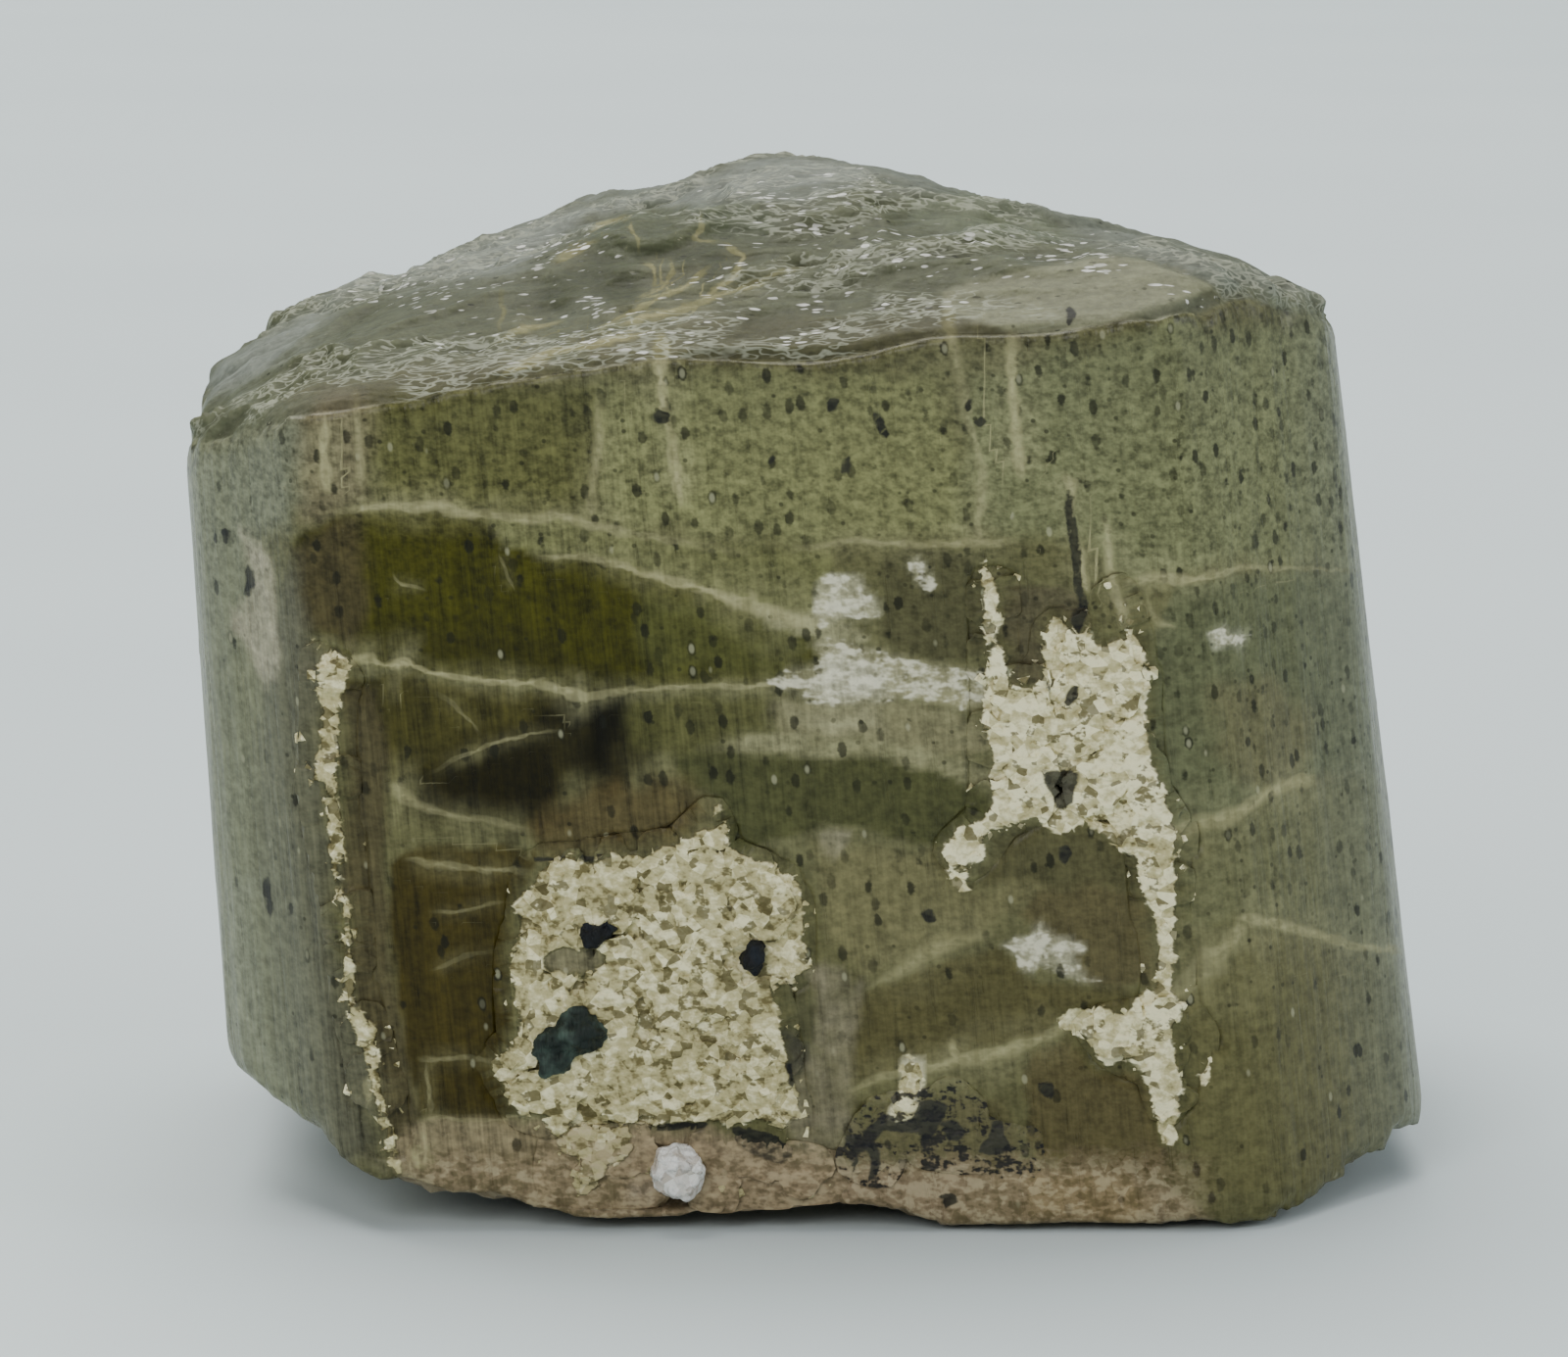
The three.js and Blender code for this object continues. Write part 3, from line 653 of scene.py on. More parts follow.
# The broken top's areas, in the same form
TOPS = {
    # The far bevels' pale blue-grey is painted sheen.
    "far bevel sheen, left": ("a0a79c", 0.85, 0.5, [
        -20.8, 29.6, -20.1, 30.8, -17.6, 32.3, -15.2, 34, -14.2, 34.5, -11.8, 34.8, -9.1, 36.1, -6.1, 36.7,
        -2.1, 37.8, 0.3, 38, 2.7, 37.7, 2.7, 37.2, -0.7, 36.6, -4.1, 36.1, -6.1, 36.2, -7.5, 35.7, -8.8,
        34.9, -10.2, 33.8, -11.8, 33.6, -13.5, 33.6, -15.6, 33.2, -16.9, 31.8, -18.9, 30.2,
    ]),
    "far bevel sheen, right": ("8b9285", 0.8, 0.5, [
        2.7, 37.8, 8.1, 36.9, 11.8, 35.3, 14.5, 34.5, 17.8, 33.5, 18, 32.7, 16.2, 33.2, 13.8, 33.5, 11.5,
        34.5, 9.4, 35.2, 8.1, 35.8, 6.1, 36.4, 2.7, 36.9,
    ]),
    "right lens": ("7d866a", 0.75, 0.3, [
        3.7, 36.4, 6.1, 36.8, 8.1, 36.1, 9.4, 35.2, 7.4, 34.9, 4.7, 35.3, 3.5, 35.7,
    ]),
    "olive lens, middle": ("5e6646", 0.8, 0.25, [
        -7.5, 35.2, -6.1, 36.1, -4.1, 36.2, -3.6, 35.4, -4.1, 34.9, -5.4, 34.5, -6.1, 34.1, -7, 34.5,
    ]),
    "green lens": ("626c4e", 0.75, 0.3, [
        -4.1, 36.1, -2.1, 36.4, -1, 35.7, -1.4, 35, -3.1, 35, -3.7, 35.5,
    ]),
    "dark lens, left": ("4e5434", 0.9, 0.2, [
        -9.3, 33.2, -8.7, 33.7, -7.8, 34.4, -7.1, 34.5, -6.1, 34, -5.6, 33.2, -6.1, 32.6, -7.5, 33.2, -8.3,
        32.7, -9.1, 32.6,
    ]),
    "dark lens, right": ("4c5232", 0.9, 0.15, [
        -4.4, 34.8, -3.4, 34.9, -1.9, 34.9, -1.4, 34.4, -2.1, 33.8, -3.2, 33.4, -4.2, 33.7, -4.6, 34.3,
    ]),
    "shard, left": ("606448", 0.7, 0.3, [
        -11.8, 33.2, -9.3, 33, -8.3, 32.1, -9.5, 31.6, -10.8, 31.8, -11.8, 32.1,
    ]),
    "smooth place, lower": ("5c6442", 0.7, 0.3, [
        -8.8, 31.6, -7.5, 31.8, -7.5, 30.7, -8.8, 30.5,
    ]),
    "hazy shelf": ("a3a584", 0.9, 0.12, [
        4.7, 33.2, 6.1, 33.7, 8.1, 34.2, 10.8, 34.5, 12.8, 34, 14.2, 33.4, 12.8, 32.8, 11.1, 32.4, 9.8,
        31.8, 8.1, 31.4, 6.1, 32.1, 4.9, 32.5,
    ]),
    "right of the shelf": ("8c9076", 0.7, 0.3, [
        11.1, 32.3, 12.8, 32.9, 14.8, 33.2, 17.9, 33.1, 17.9, 31.6, 14.5, 31.5, 11.1, 31.5,
    ]),
}
# Where painted white glints crowd together on the broken top: the middle, half sizes and how thickly
PAINTED_GLINT_SPOTS = [
    ((-13.2, 33.6), (2.0, 0.7), 0.9),
    ((-8.6, 34.5), (1.4, 1.0), 0.9),
    ((-6.1, 31.9), (2.0, 0.8), 0.9),
    ((-10.8, 31.6), (1.7, 0.6), 0.8),
    ((1.5, 36.9), (1.1, 0.5), 1),
    ((3.7, 34.1), (2.1, 0.5), 1),
    ((8.8, 34.5), (2.1, 0.5), 1),
    ((-0.7, 36.4), (2.0, 0.8), 0.6),
    ((0.7, 32.0), (1.1, 0.8), 0.8),
    ((13.0, 33.2), (1.1, 0.4), 0.6),
    ((5.5, 35.0), (1.5, 0.4), 0.9),
    ((-7.5, 33.2), (1.4, 0.6), 0.5),
    ((-2.4, 33.2), (2.0, 0.8), 0.4),
    ((0.3, 35.2), (3.0, 1.4), 0.4),
    ((2.7, 32.8), (2.0, 0.4), 0.5),
]
# Milky places, in the form of AREAS
MILKY = {
    "left bevel cream": ("b0aa90", 0.95, 0.15, [
        -19.5, 24.9, -19.1, 24.5, -18.7, 24.4, -18.4, 23.8, -18.3, 22.5, -18.2, 21.2, -18.2, 20, -18.5,
        19.6, -18.8, 19.8, -19, 20.5, -19.4, 21.2, -19.8, 21.3, -19.7, 22, -19.3, 22.5, -19.1, 22.9, -19.1,
        23.7,
    ]),
    "tail veil": ("96936f", 0.85, 0.08, [
        -2.8, 17.5, -2.1, 17.7, -0.7, 17.8, 1, 17.7, 2.7, 17.5, 4.2, 17.2, 5.5, 16.9, 6.3, 16.4, 6.4, 15.9,
        5.5, 16, 4.4, 16.5, 2.8, 16.8, 1.7, 16.9, 0.3, 17, -1, 17.2, -2.1, 17.2,
    ]),
    "milky heart": ("aaa685", 0.85, 0.25, [
        -1.3, 19.6, -0.6, 20, 0.4, 20.1, 0.6, 20.4, 0.3, 20.9, 0.9, 21.1, 1.6, 20.9, 2.3, 20.7, 3.1, 20.5,
        4.1, 20.2, 5.1, 20, 6.1, 19.8, 6.3, 19.4, 6.1, 18.8, 5.5, 18.6, 4.6, 19, 3.9, 19.1, 2.7, 19, 1.6,
        18.8, 0.6, 18.8, 0, 19.2, -0.8, 19.4,
    ]),
    "its brightest": ("d8d5be", 0.8, 0.25, [
        0.3, 19.4, 1, 20.3, 2, 20.3, 2.8, 19.8, 2.7, 19.2, 1.7, 19, 0.8, 18.9,
    ]),
    "haze under it": ("a09c7a", 0.7, 0.3, [
        -0.7, 18.8, 1, 18.6, 2.3, 18.8, 2.7, 17.9, 1, 17.8, -0.2, 18,
    ]),
    "milky above": ("b8b596", 0.9, 0.08, [
        0.4, 23.1, 1, 23.3, 1.9, 23.2, 2.3, 22.7, 2.5, 22.3, 2.6, 21.9, 2.1, 21.8, 1.4, 21.9, 1, 21.7, 0.6,
        21.5, 0.3, 22, 0.4, 22.7,
    ]),
    "haze between": ("9c9976", 0.85, 0.12, [
        -1.7, 22.3, -0.7, 22.1, 0.5, 21.9, 1.7, 21.6, 2.2, 21, 1, 21, -0.2, 21.2, -1.2, 21.5,
    ]),
    "chip": ("acaa8a", 0.85, 0.08, [
        3.5, 23.8, 4, 23.9, 4.3, 23.6, 4.6, 23.2, 4.3, 22.8, 3.9, 23.1,
    ]),
    "right chip": ("b8b89c", 0.85, 0.1, [
        13.9, 21.2, 14.2, 21.4, 14.6, 21.5, 14.9, 21.3, 15.3, 21.2, 15, 20.9, 14.5, 20.8, 14.1, 20.8,
    ]),
    "bright crumbs": ("cbc8ae", 0.55, 0.06, [
        6.7, 10.3, 7.2, 10.6, 7.9, 10.7, 8, 11.2, 8.4, 11, 8.6, 10.7, 9.2, 10.6, 9.7, 10.3, 9.8, 10, 9.2,
        9.9, 9.6, 9.5, 10.2, 9.1, 9.3, 9.2, 8.6, 9.5, 8.1, 9.8, 7.8, 9.3, 7.4, 9.6, 7.1, 10.1,
    ]),
    "strip beside the lower patch": ("817b63", 0.85, 0.2, [
        1.6, 8.9, 2, 9.2, 1.9, 7.4, 1.6, 6.1, 1.7, 4.7, 1.5, 3.5, 1, 2.5, -0.2, 2.6, -0.7, 4.7, -0.7, 5.7,
        0, 6.1, 0.4, 7.1, 0.5, 8.8, 0, 9.5, 0.7, 9.7, 1.3, 9.5,
    ]),
    "upright piece at the foot": ("e4debb", 1.0, 0.05, [
        3.2, 6.4, 3.5, 6.6, 4.1, 6.4, 4.1, 5.4, 3.9, 4.9, 4, 4.5, 3.6, 4, 2.9, 4, 2.8, 4.4, 3.2, 4.9, 3.3,
        5.7,
    ]),
    "left crumbs": ("969078", 0.7, 0.15, [
        0.5, 14.2, 1, 14.4, 1.6, 14.2, 1.3, 13.7, 1, 13.3, 0.6, 13.5,
    ]),
    "quartz beside": ("b0a492", 0.8, 0.08, [
        -6.1, 2.1, -5.4, 2.3, -5, 1.9, -5.2, 1.2, -5.8, 1.1, -6.1, 1.4,
    ]),
}
# Outlines of sugary feldspar
CREAM = {
    "lower patch": [
        -9.2, 13, -8.8, 13.3, -8, 13.4, -7.5, 13.1, -6.7, 13.6, -5.9, 13.6, -5.4, 13.5, -4.8, 13.8, -3.9,
        14, -3.1, 14.3, -3.2, 14.8, -3, 15.3, -2.7, 14.9, -2.6, 14.3, -2.5, 13.5, -1.9, 13.3, -1, 13.1,
        -0.5, 12.7, -0.1, 12.4, 0, 11.4, 0, 10.5, 0.2, 9.7, -0.2, 9.1, -0.7, 9, -1.1, 8.8, -1, 7.9, -0.7,
        7.4, -0.8, 6.6, -0.6, 5.9, -0.3, 5.2, -0.2, 4.3, -0.7, 3.9, -1.7, 4.1, -2.6, 4, -3.6, 4.1, -4.8,
        3.9, -6.1, 4, -7.5, 4.1, -8.8, 4.1, -9.7, 4.3, -10.2, 4.7, -10.4, 5.3, -10.8, 6.2, -10.4, 6.6, -10,
        6.7, -9.8, 7.4, -10, 8.1, -10, 8.8, -10.2, 9.5, -10, 10.3, -9.8, 10.7, -9.9, 11.3, -10.2, 11.6,
        -9.8, 12.1, -9.4, 12.2,
    ],
    "lower patch, pale lip": [
        -8.8, 4.1, -6.1, 3.9, -5.8, 3.5, -6.1, 2.8, -6.8, 2.6, -7.1, 1.9, -7.5, 1.6, -8, 1.8, -7.8, 2.6,
        -8.5, 3.1,
    ],
    "upper patch": [
        6.1, 19.4, 7, 19.4, 8.1, 19.2, 8.2, 19.8, 8.2, 21.2, 8.4, 21.8, 8.8, 21.9, 9.2, 21.3, 9.5, 21.2,
        9.8, 21.6, 10.1, 20.8, 10.6, 20.9, 11.1, 21.2, 10.9, 21.8, 11.1, 22.2, 11.3, 21.5, 11.7, 20.6,
        11.9, 19.4, 11.8, 18.4, 12, 16.5, 12.5, 15.3, 12.8, 14.3, 12.8, 12.6, 12.8, 10.9, 12.7, 8.8, 13,
        8.1, 12.7, 7.1, 12.8, 6.4, 13, 5.5, 13.1, 4.9, 12.8, 4.1, 12.7, 3.5, 12.3, 3.5, 12.1, 4.7, 11.7,
        5.8, 11.1, 6.2, 10.4, 6.1, 10, 6.5, 9.6, 7.2, 8.8, 7.5, 8.8, 7.9, 9.3, 8.1, 10.3, 8.1, 11.1, 7.8,
        11.6, 8.5, 12.1, 9, 12.2, 10.5, 12, 11.7, 11.6, 12.4, 11.4, 13.3, 10.8, 13.9, 10.1, 14.3, 9.5,
        14.7, 9, 14.3, 8.6, 14.3, 8.2, 14.7, 7.7, 14.7, 7.1, 14.4, 6.5, 14.4, 6.3, 13.9, 6.1, 13.3, 5.5,
        13.1, 5.3, 12.8, 5.7, 12.3, 5.3, 12.1, 5, 12.4, 4.9, 13, 4.8, 13.7, 5, 14.1, 5.5, 14.5, 6.2, 14.7,
        6.5, 15.2, 6.4, 16.2, 6.4, 17.4, 6.2, 18.1,
    ],
    "upper patch, left streak": [
        6.2, 24.2, 6.4, 23.7, 6.6, 22.9, 6.8, 21.7, 6.5, 21, 6.9, 20.4, 7.1, 19.7, 7, 19.2, 6.2, 19.2, 6.3,
        20.1, 6.2, 21.5, 6.1, 22.9,
    ],
    "upper patch, bright top": [
        9.5, 23.6, 9.8, 23.2, 9.8, 22.7, 9.6, 22.9,
    ],
    "left vein": [
        -17.3, 21, -16.8, 21, -16.5, 20.8, -16.2, 20.4, -15.7, 20.2, -15.8, 19.4, -16, 18.8, -16.1, 18.1,
        -16, 17.2, -16.1, 16, -15.9, 15, -15.8, 13.6, -15.9, 12.6, -15.7, 11.4, -15.5, 10.2, -15.5, 8.8,
        -15.2, 7.9, -14.8, 7.3, -14.7, 6.2, -14.5, 5, -14.2, 4, -14, 2.8, -14.1, 2.4, -14.4, 3, -14.6, 4,
        -15, 5.4, -15.2, 6.7, -15.6, 7.6, -15.9, 8.5, -15.9, 9.8, -15.9, 11.2, -16.1, 12.4, -16.4, 13.3,
        -16.4, 14.3, -16.5, 15.2, -16.5, 16, -17, 16.1, -16.8, 16.9, -16.7, 17.7, -16.6, 18.6, -16.9, 19.3,
        -16.8, 20, -16.6, 20.4,
    ],
    "upright piece at the foot": [
        3.3, 6.4, 3.5, 6.6, 4, 6.4, 4.1, 5.4, 3.9, 4.9, 4, 4.5, 3.5, 4.1, 2.9, 4, 2.9, 4.3, 3.2, 4.9, 3.3,
        5.7,
    ],
    "chip right of the tail": [
        13.4, 6.1, 13.7, 6.6, 13.9, 6.1, 14, 5.6, 13.6, 5.6,
    ],
}
# Outlines of dark grains, and of crevices darkened with painted shade
DARKS = {
    "curl": [
        1.5, 3.59, 1.73, 3.66, 2.17, 3.49, 2.51, 3.15, 2.58, 2.63, 2.44, 1.88, 2.24, 1.88, 2.31, 2.63,
        2.17, 3.04, 1.94, 2.97, 1.87, 2.29, 1.73, 2.36, 1.6, 2.97,
    ],
    "dark mass": [
        2, 3.66, 2.34, 4.07, 2.68, 4.35, 3.08, 4.28, 3.08, 4, 3.69, 4.07, 3.96, 4.76, 4.2, 4.86, 4.77,
        4.79, 5.04, 4.59, 4.64, 4, 4.37, 3.59, 4.1, 3.15, 4, 3.66, 3.52, 3.66, 2.68, 3.73, 2.27, 3.39,
    ],
    "dark crumbs": [
        4.71, 4, 5.21, 4.17, 5.55, 3.83, 5.31, 3.39, 4.87, 3.49,
    ],
    "dark crumbs, right": [
        6.33, 4.17, 6.8, 4.17, 6.94, 3.66, 7.14, 3.11, 6.66, 2.91, 5.99, 2.97, 6.19, 3.39, 6.43, 3.73,
    ],
    "dark by seam 4": [
        -5.29, 28.9, -5.02, 29.18, -4.62, 29.04, -4.55, 28.77, -4.89, 28.6, -5.16, 28.66,
    ],
    "speck a": [
        9, 32.75, 9.23, 32.81, 9.33, 32.4, 9.2, 31.99, 9.03, 32.13,
    ],
    "speck b": [
        2.34, 29.04, 2.61, 28.97, 2.88, 28.42, 3.08, 28.15, 2.81, 28.08, 2.48, 28.42,
    ],
    "speck c": [
        1.33, 27.46, 1.56, 27.53, 1.6, 27.05, 1.46, 26.71, 1.29, 26.85,
    ],
    "speck d": [
        5.92, 28.77, 6.19, 28.9, 6.43, 28.7, 6.33, 28.46, 5.99, 28.49,
    ],
    "speck e": [
        5.48, 29.45, 5.72, 29.52, 5.79, 29.18, 5.58, 29.04,
    ],
    "speck f": [
        -1.27, 27.53, -1.04, 27.6, -0.97, 27.26, -1.24, 27.15,
    ],
    "speck g": [
        0.72, 29.56, 1.19, 29.59, 1.23, 29.18, 0.85, 29.04,
    ],
    "crescent on the bevel": [
        -19.35, 23.62, -19.15, 23.69, -19.04, 23.21, -18.91, 22.8, -19.15, 22.52, -19.42, 22.63, -19.28,
        22.94,
    ],
    "bevel speck": [
        -18.71, 12.72, -18.54, 12.78, -18.4, 12.06, -18.2, 11.48, -18.4, 11.34, -18.64, 11.89,
    ],
    "bevel speck 2": [
        -20.4, 24.93, -20.23, 24.99, -20.16, 24.45, -20.33, 24.38,
    ],
    "bevel speck 3": [
        -20.02, 24.93, -19.75, 24.96, -19.69, 24.45, -19.96, 24.38,
    ],
    "line by seam 7": [
        8.96, 26.3, 9.23, 26.13, 9.4, 24.75, 9.57, 23.55, 9.67, 22.25, 9.44, 22.18, 9.3, 23.21, 9.1, 24.41,
        9, 25.61,
    ],
    "dark right of the patch": [
        12.88, 15.05, 13.19, 15.08, 13.19, 14.7, 12.91, 14.6,
    ],
    "crevice under the upper patch": [
        8.69, 13.68, 9.03, 13.88, 9.16, 13.54, 8.96, 13.2, 8.73, 13.26,
    ],
    "crevice in the upper patch": [
        8.29, 16.42, 9.44, 16.49, 9.57, 16.15, 9.3, 15.84, 9.16, 15.12, 8.69, 15.05, 8.49, 15.84,
    ],
    "crevice, upper patch's notch": [
        9.16, 19.27, 9.44, 19.44, 9.44, 18.92, 9.1, 18.61, 8.96, 18.75,
    ],
    "crevice, upper patch's left": [
        8.15, 19.51, 8.56, 19.44, 8.56, 19.16, 8.19, 19.23,
    ],
    "crevice on the lower patch": [
        -9.45, 13.5, -8.64, 13.54, -7.79, 13.47, -6.85, 13.47, -7.05, 13.23, -7.79, 13.2, -8.64, 13.33,
        -9.38, 13.26,
    ],
    "crevice under the lower patch": [
        -5.6, 3.93, -4.42, 4, -3.4, 4.07, -3.34, 3.8, -4.42, 3.73, -5.43, 3.73,
    ],
    "green under the lower patch": [
        -2.56, 3.93, -1.54, 3.73, -0.7, 3.49, -0.29, 2.97, -0.7, 2.63, -1.71, 2.8, -2.22, 3.25,
    ],
    "crevice right of the lower patch": [
        -0.8, 7.09, -0.6, 7.02, -0.5, 6.13, -0.29, 5.44, -0.5, 5.38, -0.73, 6.06,
    ],
    "speck h": [
        8.15, 5.51, 8.49, 5.58, 8.62, 5.1, 8.42, 4.9, 8.19, 5.1,
    ],
    "speck i": [
        4.64, 1.53, 5.21, 1.67, 5.38, 1.33, 4.91, 1.12,
    ],
    "notch at the upper patch's top": [
        9.3, 22.11, 9.71, 22.25, 9.64, 21.5, 9.37, 21.15, 9.16, 21.5,
    ],
    "dark left corner": [
        4.03, 11.55, 4.44, 11.62, 4.54, 11.27, 4.16, 11.14,
    ],
}
